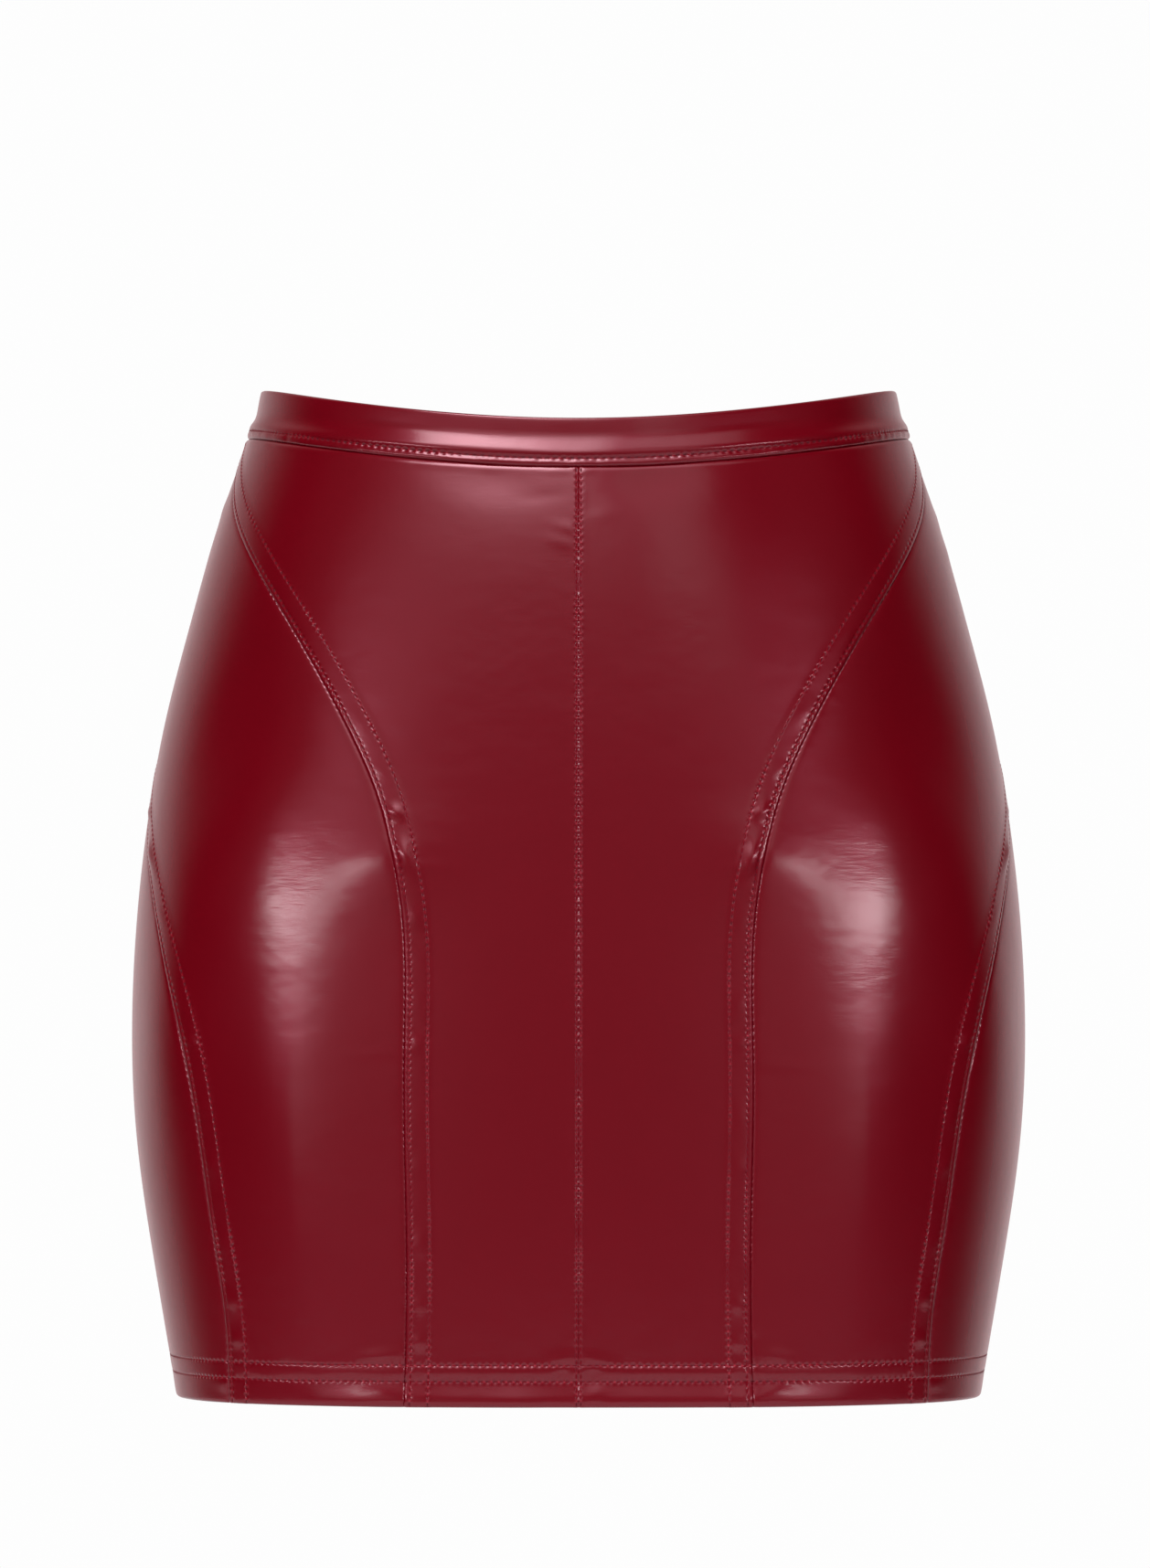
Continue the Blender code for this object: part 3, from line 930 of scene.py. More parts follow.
class HemRelief:
    """The relief of the turned-up hem. Sizes are in mm, above the hem's edge."""

    ROLL_DEPTH = 0.55
    ROLL_REACH = 0.35
    GROOVES = tuple((-0.12, row, 0.5) for row in HEM_ROWS)
    GATHERS = tuple((0.07, row, 1.7) for row in HEM_ROWS)
    STRENGTH = 0.6  # of the gathers, and its swing
    STRENGTH_SWING = 0.4
    # seed and spacing of the unevenness of the strength, the gathers and the padding
    STRENGTH_DRAW = (71, 31.0)
    GATHER_DRAW = (72, 3.6)
    SLACK_DRAW = (73, 17.0)
    SLACK_SHARE = 0.16  # of the slack that swells the padding
    SIDE_SHARE = 0.10  # of the padding that stays where the cloth faces sideways
    FACING = (0.77, 0.95)  # how squarely the cloth faces where the padding changes
    # height and stand-off of the turned-up cloth
    PADDING = (
        (0.0, 1.10),
        (1.0, 1.42),
        (2.4, 1.55),
        (3.6, 1.44),
        (5.2, 1.02),
        (8.2, 0.18),
        (9.0, 0.02),
        (9.9, 0.0),
        (10.6, 0.14),
        (12.4, 0.40),
        (14.2, 0.44),
        (15.2, 0.26),
        (16.1, 0.0),
        (17.0, 0.05),
        (18.2, 0.0),
    )

    def at(self, height: Array, run: Array, facing: Array) -> Array:
        """Return the hem's relief.

        Args:
            height: heights in mm.
            run: distance round the hem in mm, with the panel's RUN_OFFSET.
            facing: how squarely the cloth faces the front or the back, from 0 to 1.

        Returns:
            The relief in mm.
        """
        above = height + SKIRT_LENGTH
        strength = self.STRENGTH + self.STRENGTH_SWING * Wander(*self.STRENGTH_DRAW).at(run)
        loose = Wander(*self.GATHER_DRAW).at(run)
        slack = Wander(*self.SLACK_DRAW).at(run)
        roll = -self.ROLL_DEPTH * np.exp(-above / self.ROLL_REACH)
        gather = strength * loose * ridges(above, self.GATHERS)
        padding = np.interp(above, *zip(*self.PADDING)) * (1 + self.SLACK_SHARE * slack)
        square = smooth_step(facing, *self.FACING)
        share = self.SIDE_SHARE + (1 - self.SIDE_SHARE) * square
        return roll + ridges(above, self.GROOVES) + gather + padding * share


class WaistRelief:
    """The relief of a panel's face under the waistband. Sizes are in mm, below the seam."""

    DIPS = ((0.5, 0.45), (0.25, 2.0))  # depth and reach
    CRIMP_DRAW = (81, 6.0)  # seed and spacing
    CRIMP_RISE = 0.16  # and its swing
    CRIMP_SWING = 0.12
    CRIMP_PLACE = 1.7
    CRIMP_REACH = 0.9

    def at(self, below: Array, run: Array) -> Array:
        """Return the relief in mm at distances below the seam and round the hem."""
        crimp = self.CRIMP_RISE + self.CRIMP_SWING * Wander(*self.CRIMP_DRAW).at(run)
        relief = crimp * bell(below, self.CRIMP_PLACE, self.CRIMP_REACH)
        for depth, reach in self.DIPS:
            relief = relief - depth * np.exp(-below / reach)
        return relief


# ---- panels ----


@dataclass
class Panel:
    """A body panel: a thin leather shell between two seams, with a turned-up hem."""

    name: str
    side: Side
    first: PanelEdge
    last: PanelEdge
    shares: Array
    angle: Array = field(init=False)
    height: Array = field(init=False)

    COLUMN_STEP = 3.2  # between the columns of the two edges, in mm
    LEAST_COLUMNS = 3
    HEM_THINNING = 0.7  # of the wall at the hem's edge, and its reach, in mm
    THINNING_REACH = 0.6
    LEATHER_INSIDE = HEM_TURN_UP + 1.0  # above the hem's edge, in mm
    RUN_POINT = (40.0, -380.0)  # angle and height at which a degree round the hem is measured
    RUN_OFFSET = 500.0  # parts the two sides of the skirt in the draws of unevenness, in mm

    def __post_init__(self) -> None:
        """Place the panel's grid of angles and heights on the form."""
        first, last = self.first.angles, self.last.angles
        middle = FORM.height_at(self.shares, (first + last) / 2)
        near = np.array(PanelEdge.COLUMNS[self.first.kind])
        far = np.array(PanelEdge.COLUMNS[self.last.kind])[::-1]
        room = FORM.per_degree((first + last) / 2, middle) * (last - first)
        inner = int((room.max() - near[-1] - far[0]) / self.COLUMN_STEP)
        from_first = first[:, None] + near[None] / FORM.per_degree(first, middle)[:, None]
        from_last = last[:, None] - far[None] / FORM.per_degree(last, middle)[:, None]
        t = np.linspace(0.0, 1.0, max(self.LEAST_COLUMNS, inner) + 1)[1:-1][None]
        between = from_first[:, -1:] * (1 - t) + from_last[:, :1] * t
        self.angle = np.concatenate([from_first, between, from_last], 1)
        self.height = FORM.height_at(self.shares[:, None], self.angle)

    def round_hem(self, angle: Array) -> Array:
        """Return the distance round the hem from the centre front, in mm."""
        at_angle, at_height = (np.array(value) for value in self.RUN_POINT)
        return angle * float(FORM.per_degree(at_angle, at_height))

    def relief(self, angle: Array, height: Array) -> Array:
        """Return how far the panel's face stands off the form, in mm."""
        points = FORM.base(angle, height).reshape(-1, 3)
        total = FORM.swell(angle, height)
        for edge in (self.first, self.last):
            total = total + edge.relief(points).reshape(angle.shape)
        run = self.side.value * self.round_hem(angle) + self.RUN_OFFSET
        facing = np.abs(np.cos(np.radians(angle)))
        below = FORM.top_edge(angle) - WAISTBAND_DEPTH - height
        total = total + HemRelief().at(height, run, facing) + WaistRelief().at(below, run)
        turn = self.side.value * angle
        return total + sum(crease.at(turn, height) for crease in CREASES)

    def place(self, angle: Array, height: Array, lift: Array) -> Array:
        """Return points on the panel's side that stand off the form by a lift, in mm."""
        points = FORM.base(angle, height) + FORM.base_normal(angle, height) * lift[..., None]
        points[..., 0] *= self.side.value
        return points

    def surface(self, angle: Array, height: Array) -> Array:
        """Return points of the panel's outer face, in mm."""
        return self.place(angle, height, self.relief(angle, height))

    def build(self, finishes: Finishes) -> None:
        """Args:
            finishes: the skirt's materials.
        """
        above = self.height + SKIRT_LENGTH
        wall = np.where(above < HEM_TURN_UP, FOLDED, LEATHER)
        wall = wall - self.HEM_THINNING * np.exp(-above / self.THINNING_REACH)
        outer = self.surface(self.angle, self.height)
        inward = FORM.swell(self.angle, self.height) - wall
        inner = self.place(self.angle, self.height, inward)
        outer, inner, above = (self.left_to_right(grid) for grid in (outer, inner, above))
        leather_inside = above[1:, 0] < self.LEATHER_INSIDE
        thing = shell_mesh(self.name, outer, inner, finishes, leather_inside)
        self.mark_rows(thing)
        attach(thing, "skirt")
        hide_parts(self.name)
        middle = FORM.base(self.angle, self.height)

    def left_to_right(self, grid: Array) -> Array:
        """Return a grid with its columns to the right as seen from outside."""
        return grid[:, ::-1] if self.side is Side.LEFT else grid

    def mark_rows(self, thing: bpy.types.Object) -> None:
        """Store on the outer face how far each point is from a row of stitches, and along it.

        Args:
            thing: the panel.
        """
        points = FORM.base(self.angle, self.height).reshape(-1, 3)
        seams = self.first.rows(points) + self.last.rows(points)
        above = points[:, 2] + SKIRT_LENGTH
        run = self.round_hem(self.angle.reshape(-1))
        low, high = HEM_ROWS
        hem = [(low - above, run), (above - high, run)]
        for names, rows in ((SEAM_ROWS, seams), (LEVEL_ROWS, hem)):
            gaps, runs = (np.stack(values) for values in zip(*rows))
            nearest = np.abs(gaps).argmin(0)
            index = np.arange(len(nearest))
            for name, values, inside in zip(names, (gaps, runs), (FAR_FROM_ROWS, 0.0)):
                grid = self.left_to_right(values[nearest, index].reshape(self.angle.shape))
                mark(thing, name, np.append(grid.reshape(-1), np.full(len(index), inside)))

    def stitches(self, angles: Array, heights: Array, seed: int) -> StitchRow:
        """Return a row of stitches laid on the panel's face."""
        normals = FORM.base_normal(angles, heights)
        normals[:, 0] *= self.side.value
        return StitchRow(self.surface(angles, heights), normals, seed)


@dataclass(frozen=True)
class Crease:
    """A soft trough or ridge across the leather, on one side of the skirt only."""

    angle: float
    height: float
    length: float
    width: float
    depth: float
    slant: float

    DEGREE = 2.4  # rough length of a degree round the form, in mm

    def at(self, turn: Array, height: Array) -> Array:
        """Return the crease's rise in mm at signed angles and heights."""
        across = (turn - self.angle) * self.DEGREE
        up = height - self.height
        lean = math.radians(self.slant)
        along = across * math.cos(lean) + up * math.sin(lean)
        square = up * math.cos(lean) - across * math.sin(lean)
        return self.depth * np.exp(-((along / self.length) ** 2) - (square / self.width) ** 2)


# angle, height, length, width, depth and slant, in degrees and mm
CREASE_TABLE = (
    # beside the centre front, under the waistband
    (-1.9, -56.0, 4.5, 2.0, 0.26, -28.0),
    (-2.6, -61.5, 5.0, 2.4, 0.22, -22.0),
    (-6.0, -44.0, 9.0, 2.6, -0.16, 6.0),
    (3.2, -52.0, 7.0, 3.0, 0.12, 14.0),
    # beside the puffs of the front seams
    (-24.8, -185.0, 11.0, 14.0, 0.40, 0.0),
    (24.8, -185.0, 11.0, 14.0, 0.42, 0.0),
    (-19.0, -186.0, 8.0, 2.6, 0.14, -6.0),
    (19.5, -187.0, 8.0, 2.6, 0.12, 6.0),
    (-24.5, -257.0, 9.0, 2.2, 0.12, 4.0),
    (25.0, -262.0, 9.0, 2.2, 0.12, -4.0),
    # drawn-in crossings of the hem with the centre front
    (1.9, -380.2, 3.2, 2.3, -0.52, 8.0),
    (-2.2, -380.6, 3.4, 1.9, -0.34, 32.0),
    (2.6, -374.3, 4.4, 1.9, 0.36, -12.0),
    (-2.4, -374.0, 4.2, 2.0, 0.32, 14.0),
    (2.4, -387.2, 3.8, 2.2, 0.30, 24.0),
    # and with the front seams
    (-26.2, -385.8, 5.0, 3.2, 0.36, 5.0),
    (-26.4, -373.2, 7.0, 2.8, 0.34, 8.0),
    (26.4, -386.0, 4.6, 3.2, 0.34, -5.0),
    (26.2, -373.4, 6.0, 2.8, 0.30, -8.0),
    (-21.6, -380.0, 3.2, 2.0, -0.24, 0.0),
    (22.0, -380.0, 3.2, 2.0, -0.26, 0.0),
    # at the sides, where the hip strains the waist
    (-88.0, -46.0, 13.0, 3.6, 0.30, -12.0),
    (-96.0, -60.0, 15.0, 4.2, 0.24, -8.0),
    (90.0, -49.0, 12.0, 3.6, 0.28, 12.0),
    (84.0, -64.0, 14.0, 4.2, 0.22, 8.0),
    # at the hem, beside the rear seams
    (-52.0, -385.0, 6.0, 3.0, 0.34, 0.0),
    (53.0, -385.4, 6.0, 3.0, 0.32, 0.0),
    # under the seat
    (-152.0, -236.0, 26.0, 6.0, 0.70, 8.0),
    (-160.0, -254.0, 20.0, 5.0, -0.42, 10.0),
    (150.0, -240.0, 24.0, 6.0, 0.66, -8.0),
    (158.0, -259.0, 19.0, 5.0, -0.38, -10.0),
    # at the end of the zip and the foot of the back seam
    (-175.5, -197.0, 7.5, 3.2, 0.46, 24.0),
    (-173.0, -211.0, 9.0, 3.8, 0.30, 18.0),
    (176.0, -199.0, 7.0, 3.0, 0.42, -24.0),
    (173.5, -214.0, 9.0, 3.8, 0.28, -18.0),
    (177.8, -380.3, 3.2, 2.2, -0.44, 0.0),
    (-177.4, -380.5, 3.4, 2.0, -0.36, 20.0),
)
CREASES = tuple(Crease(*row) for row in CREASE_TABLE)


# ---- stitching ----


@dataclass
class StitchRow:
    """A row of machine stitches on one piece. Sizes are in mm."""

    points: Array
    normals: Array
    seed: int

    THREAD = 0.22  # radius of the thread
    FLATNESS = 0.85  # of its section
    START = 0.08  # of a stitch in its pitch, and its length, as shares of the pitch
    LENGTH = 0.84
    UNEVENNESS = 0.06  # of the start
    SIDES = 6
    # place along a stitch, size and lift of each ring
    RINGS = (
        (0.0, 0.25, -0.36),
        (0.10, 0.8, -0.14),
        (0.32, 1.0, -0.04),
        (0.68, 1.0, -0.04),
        (0.90, 0.8, -0.14),
        (1.0, 0.25, -0.36),
    )

    def stitch_faces(self) -> Array:
        """Return the quads of one stitch: its sides and its two ends."""
        sides = self.SIDES
        last = (len(self.RINGS) - 1) * sides
        faces = []
        for low in range(0, last, sides):
            high = low + sides
            for s in range(sides):
                t = (s + 1) % sides
                faces.append((low + s, high + s, high + t, low + t))
        for i in range(sides // 2 - 1):
            end = (i, i + 1, sides - 2 - i, sides - 1 - i)
            faces.append(end)
            faces.append(tuple(last + corner for corner in reversed(end)))
        return np.array(faces)

    def build_arrays(self) -> tuple[Array, Array]:
        """Return the points in mm and the quads of all the row's stitches."""
        runs = distances_along(self.points)
        count = max(1, int(runs[-1] / STITCH_PITCH))
        random = np.random.default_rng(self.seed)
        begins = (np.arange(count) + self.START) * STITCH_PITCH
        begins = begins + random.uniform(-self.UNEVENNESS, self.UNEVENNESS, count)
        ends = begins + STITCH_PITCH * self.LENGTH
        wanted = (begins, self.points), (ends, self.points), ((begins + ends) / 2, self.normals)
        start, end, out = (
            np.stack([np.interp(places, runs, column) for column in values.T], -1)
            for places, values in wanted
        )
        out = out / np.linalg.norm(out, axis=1, keepdims=True)
        along = end - start
        across = np.cross(out, along)
        across = across / np.linalg.norm(across, axis=1, keepdims=True)
        points = np.empty((count, len(self.RINGS), self.SIDES, 3))
        for r, (place, size, lift) in enumerate(self.RINGS):
            centre = start + along * place + out * lift
            for s in range(self.SIDES):
                turn = s * 2 * math.pi / self.SIDES
                offset = across * math.cos(turn) + out * math.sin(turn) * self.FLATNESS
                points[:, r, s] = centre + offset * self.THREAD * size
        first = np.arange(count) * len(self.RINGS) * self.SIDES
        faces = self.stitch_faces()[None] + first[:, None, None]
        return points.reshape(-1, 3), faces.reshape(-1, 4)


def stitch_piece(name: str, rows: list[StitchRow], finishes: Finishes) -> None:
    """Join rows of stitches into one piece that rides on the skirt.

    Args:
        name: the piece's name.
        rows: the rows.
        finishes: the skirt's materials.
    """
    points, faces, start = [], [], 0
    for row in rows:
        row_points, row_faces = row.build_arrays()
        points.append(row_points)
        faces.append(row_faces + start)
        start += len(row_points)
    thing = make_mesh(name, np.concatenate(points), np.concatenate(faces), [finishes.thread])
    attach(thing, "skirt")
    LOG.info("%s: %d stitch faces", name, len(thing.data.polygons))


# ---- the skirt's body ----


class SkirtBody:
    """The six body panels and the stitching on them.

    A seam is given by its table or, on the centre lines, by its angle.
    """

    # each panel with its first seam, its last seam and how it is sewn at each
    PLAN = (
        ("front_panel", 0.0, SeamKind.EDGED, FORM.front_seam, SeamKind.TWIN),
        ("hip_panel", FORM.front_seam, SeamKind.PLAIN, FORM.rear_seam, SeamKind.TWIN),
        ("back_panel", FORM.rear_seam, SeamKind.PLAIN, 180.0, SeamKind.EDGED),
    )
    PANEL_SEEDS = {Side.LEFT: 100, Side.RIGHT: 200}
    PANEL_SEED_STEP = 10
    LAST_EDGE_SEED = 5
    TWIN_SEEDS = (31, 32)  # of the stitches
    CENTRE_SEED = 41
    HEM_SEED = 51
    LINE_STEP = 0.25  # along a seam, in mm
    ROW_STEP = 1.15  # between a panel's rows, in mm
    # places of a panel's rows: above the hem's edge, and at the end below the waist seam, in mm
    HEM_STEPS = (
        (0.0, 0.15, 0.35, 0.6, 1.0, 1.6, 2.6, 3.8, 5.2, 6.8, 8.2, 9.0, 9.5, 9.9, 10.4, 11.2)
        + (12.6, 14.2, 15.2, 15.7, 16.1, 16.6, HEM_TURN_UP - 0.1, HEM_TURN_UP + 0.1, 18.4)
    )
    INNER_START = 19.6
    INNER_END = 4.4
    WAIST_STEPS = (3.6, 2.4, 1.5, 0.9, 0.5, 0.2, 0.0)
    SEWN = (0.0005, 0.9985, 900)  # first and last share of a seam's stitches, and their steps
    HEM_SEWN_MARGIN = 0.15  # degrees from a panel's edge to the hem's stitches
    HEM_SEWN_STEPS = 500

    def __init__(self, finishes: Finishes) -> None:
        """Work out the rows of the panels and of the seam lines."""
        self.finishes = finishes
        full = SKIRT_LENGTH - WAISTBAND_DEPTH
        inner = np.arange(self.INNER_START, full - self.INNER_END, self.ROW_STEP)
        waist = full - np.array(self.WAIST_STEPS)
        self.shares = np.concatenate([self.HEM_STEPS, inner, waist]) / full
        self.fine = np.linspace(0.0, 1.0, int(SKIRT_LENGTH / self.LINE_STEP))
        self.panels: dict[str, Panel] = {}

    def angles(self, seam: SplineTable | float, shares: Array) -> Array:
        """Return a seam's angles at shares of the way from the hem to the waist seam."""
        if isinstance(seam, SplineTable):
            return FORM.seam_angle(seam, shares)
        return np.full_like(shares, seam)

    def edge(self, seam: SplineTable | float, kind: SeamKind, seed: int) -> PanelEdge:
        """Return a panel's edge at a seam.

        Args:
            seam: the seam's table or angle.
            kind: what the edge is sewn like.
            seed: the seed of its unevenness.

        Returns:
            The edge.
        """
        fine = self.angles(seam, self.fine)
        line = SeamLine(fine, FORM.height_at(self.fine, fine))
        return PanelEdge(line, self.angles(seam, self.shares), kind, seed)

    def build(self) -> None:
        """Build the panels of both sides."""
        for side in Side:
            seed = self.PANEL_SEEDS[side]
            for word, first, first_kind, last, last_kind in self.PLAN:
                panel = Panel(
                    f"{word}_{side.word}",
                    side,
                    self.edge(first, first_kind, seed),
                    self.edge(last, last_kind, seed + self.LAST_EDGE_SEED),
                    self.shares,
                )
                panel.build(self.finishes)
                self.panels[panel.name] = panel
                seed += self.PANEL_SEED_STEP

    def stitch(self) -> None:
        """Sew the rows beside the seams and round the hem."""
        for side in Side:
            panels = [self.panels[f"{plan[0]}_{side.word}"] for plan in self.PLAN]
            front, hip, back = panels
            sewn = (
                ("front_seam", self.twin_rows(front, FORM.front_seam)),
                ("rear_seam", self.twin_rows(hip, FORM.rear_seam)),
                ("centre_front", [self.centre_row(front, 0.0, EDGE_ROW)]),
                ("centre_back", [self.centre_row(back, 180.0, -EDGE_ROW)]),
                ("hem", [self.hem_row(panel, above) for panel in panels for above in HEM_ROWS]),
            )
            for word, rows in sewn:
                stitch_piece(f"thread_{word}_{side.word}", rows, self.finishes)

    def twin_rows(self, panel: Panel, seam: SplineTable) -> list[StitchRow]:
        """Return the two rows on a panel beside its curved seam."""
        shares = np.linspace(*self.SEWN)
        rows = []
        for away, seed in zip(TWIN_ROWS, self.TWIN_SEEDS):
            angles = FORM.beside_seam(seam, shares, -away)
            rows.append(panel.stitches(angles, FORM.height_at(shares, angles), seed))
        return rows

    def centre_row(self, panel: Panel, centre: float, away: float) -> StitchRow:
        """Return the row on a panel beside the centre front or back, away from it in mm."""
        shares = np.linspace(*self.SEWN)
        angles = np.full_like(shares, centre)
        heights = FORM.height_at(shares, angles)
        angles = angles + away / FORM.per_degree(angles, heights)
        return panel.stitches(angles, heights, self.CENTRE_SEED)

    def hem_row(self, panel: Panel, above: float) -> StitchRow:
        """Return a row round a panel, at a height above the hem's edge."""
        height = -SKIRT_LENGTH + above
        share = (height + SKIRT_LENGTH) / (SKIRT_LENGTH - WAISTBAND_DEPTH)
        low, high = (np.interp(share, self.shares, e.angles) for e in (panel.first, panel.last))
        margin = self.HEM_SEWN_MARGIN
        angles = np.linspace(low + margin, high - margin, self.HEM_SEWN_STEPS)
        return panel.stitches(angles, np.full_like(angles, height), self.HEM_SEED)


# ---- waistband ----


@dataclass
class Waistband:
    """The folded waistband, with its rolled top fold and its edge row of stitches.

    Sizes are in mm, and places in the section are below the top edge.
    """

    finishes: Finishes

    NAME = "waistband"
    COLUMNS = 760
    END_GAP = 2.0
    END_POINT = (180.0, -15.0)  # angle and height at which the gap is measured
    DEGREE = 2.0  # rough length of a degree along the band
    # place, stand-off at the centre and stand-off at the sides
    OUTER_FACE = (
        (0.0, 1.10, 0.00),
        (3.0, 0.72, -0.12),
        (6.0, 0.28, -0.36),
        (7.4, 0.10, -0.50),
        (9.0, 0.34, -0.64),
        (10.6, 0.66, -0.62),
        (12.2, 0.98, -0.15),
        (13.5, 1.20, 0.35),
        (14.3, 1.14, 0.50),
        (15.1, 0.66, 0.48),
        (15.9, 0.06, 0.30),
        (16.3, 0.06, 0.34),
        (17.0, 0.34, 0.42),
        (17.7, 0.48, 0.36),
        (18.4, 0.16, 0.10),
        (19.0, -0.50, -0.40),
    )
    SIDE_TO_CENTRE = (0.55, 0.93)  # how squarely the band faces where it changes
    # place and depth in from the outer face of the section's points
    LOWER_EDGE = (
        (WAISTBAND_DEPTH, 0.9),
        (WAISTBAND_DEPTH - 0.1, 0.45),
        (WAISTBAND_DEPTH - 0.3, 0.15),
        (WAISTBAND_DEPTH - 0.6, 0.0),
    )
    INNER_EDGE = (
        (WAISTBAND_DEPTH - 1.0, FOLDED),
        (WAISTBAND_DEPTH - 0.2, FOLDED - 0.2),
        (WAISTBAND_DEPTH, FOLDED - 0.6),
    )
    OUTER_PLACES = (
        (17.9, 17.4, 17.0, 16.6, 16.3, 16.0, 15.6, 15.2, 14.7, 14.0)
        + (13.2, 12.2, 11.0, 9.6, 8.2, 7.0, 5.6, 4.2, 3.0, 2.0)
    )
    INNER_PLACES = (2.4, 6.0, 10.0, 14.0)
    FOLD_STEPS = 10
    # unevenness: height, seed, spacing, place above the lower edge and reach
    RIPPLES = (
        (0.13, 91, 3.1, 2.0, 1.6),  # gathers along the stitches
        (0.16, 92, 21.0, 9.0, 7.0),
        (0.10, 93, 7.0, 0.9, 0.9),  # the lower lip
    )
    SEWN = (-178.9, 178.9, 4000)  # first and last angle of the stitches, and their steps
    SEED = 61

    def profile(self) -> list[tuple[float, float]]:
        """Return the section as places and depths, from the lower edge over the top fold."""
        radius = FOLDED / 2
        fold = []
        for step in range(self.FOLD_STEPS + 1):
            turn = math.radians(180 * step / self.FOLD_STEPS)
            fold.append((radius - radius * math.sin(turn), radius - radius * math.cos(turn)))
        outer = [(below, 0.0) for below in self.OUTER_PLACES]
        inner = [(below, FOLDED) for below in self.INNER_PLACES]
        return [*self.LOWER_EDGE, *outer, *fold, *inner, *self.INNER_EDGE]

    def stand_off(self, angle: Array, below: float) -> Array:
        """Return how far the outer face stands off the form: the band's flare and its lips."""
        places, middle, side = zip(*self.OUTER_FACE)
        front = smooth_step(np.abs(np.cos(np.radians(angle))), *self.SIDE_TO_CENTRE)
        at_side = np.interp(below, places, side) * (1 - front)
        return np.interp(below, places, middle) * front + at_side

    def run(self, angle: Array) -> Array:
        """Return the distance along the band from its end, roughly."""
        return (angle + 180.0) * self.DEGREE

    def ripple(self, run: Array, below: float) -> Array:
        """Return the band's unevenness along its length, at a place of its section."""
        above = WAISTBAND_DEPTH - below
        return sum(
            height * Wander(seed, spacing).at(run) * bell(above, place, reach)
            for height, seed, spacing, place, reach in self.RIPPLES
        )

    def face(self, angle: Array, below: float, inward: float) -> Array:
        """Return points round the band at a place and depth of its section."""
        height = FORM.top_edge(angle) - below
        outside = max(0.0, 1 - inward / (FOLDED / 2))
        lift = (self.ripple(self.run(angle), below) + self.stand_off(angle, below)) * outside
        lift = lift + FORM.swell(angle, height)
        points = FORM.base(angle, height)
        return points + FORM.base_normal(angle, height) * (lift - inward)[..., None]

    def build(self) -> None:
        """Make the band and its stitches."""
        end_angle, end_height = (np.array(value) for value in self.END_POINT)
        half = self.END_GAP / 2 / float(FORM.per_degree(end_angle, end_height))
        angle = np.linspace(-180.0 + half, 180.0 - half, self.COLUMNS)
        profile = self.profile()
        rings = np.stack([self.face(angle, below, inward) for below, inward in profile], 1)
        faces = grid_faces(self.COLUMNS, len(profile), closed=True)
        thing = make_mesh(self.NAME, rings.reshape(-1, 3), faces, [self.finishes.leather])
        self.close_ends(thing, len(profile))
        self.mark_row(thing, angle, profile)
        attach(thing, "skirt")
        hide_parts(self.NAME)
        middle = FORM.base(angle, FORM.top_edge(angle) - WAISTBAND_DEPTH / 2)
        self.sew()

    def close_ends(self, thing: bpy.types.Object, count: int) -> None:
        """Close both ends of the band.

        Args:
            thing: the band.
            count: number of points in its section.
        """
        mesh = bmesh.new()
        mesh.from_mesh(thing.data)
        mesh.verts.ensure_lookup_table()
        for start in (0, (self.COLUMNS - 1) * count):
            mesh.faces.new([mesh.verts[start + i] for i in range(count)])
        bmesh.ops.triangulate(mesh, faces=mesh.faces[-2:])
        bmesh.ops.recalc_face_normals(mesh, faces=mesh.faces)
        mesh.to_mesh(thing.data)
        mesh.free()

    def mark_row(self, thing: bpy.types.Object, angle: Array, profile: list) -> None:
        """Store how far each point is from the row of stitches, and the place along it.

        Args:
            thing: the band.
            angle: angles of its columns.
            profile: its section, of which the first two thirds are the outside.
        """
        count = len(profile)
        outside = profile[: -count // 3]
        gap = [WAISTBAND_DEPTH - BAND_ROW - below for below, _ in outside]
        gap += [FAR_FROM_ROWS] * (count - len(gap))
        mark(thing, LEVEL_ROWS[0], np.tile(gap, self.COLUMNS))
        mark(thing, LEVEL_ROWS[1], np.repeat(self.run(angle), count))
        mark(thing, SEAM_ROWS[0], np.full(self.COLUMNS * count, FAR_FROM_ROWS))

    def sew(self) -> None:
        """Lay the edge row above the band's lower edge."""
        angle = np.linspace(*self.SEWN)
        below = WAISTBAND_DEPTH - BAND_ROW
        normals = FORM.base_normal(angle, FORM.top_edge(angle) - below)
        row = StitchRow(self.face(angle, below, 0.0), normals, self.SEED)
        stitch_piece("thread_waistband", [row], self.finishes)


# ---- zip ----


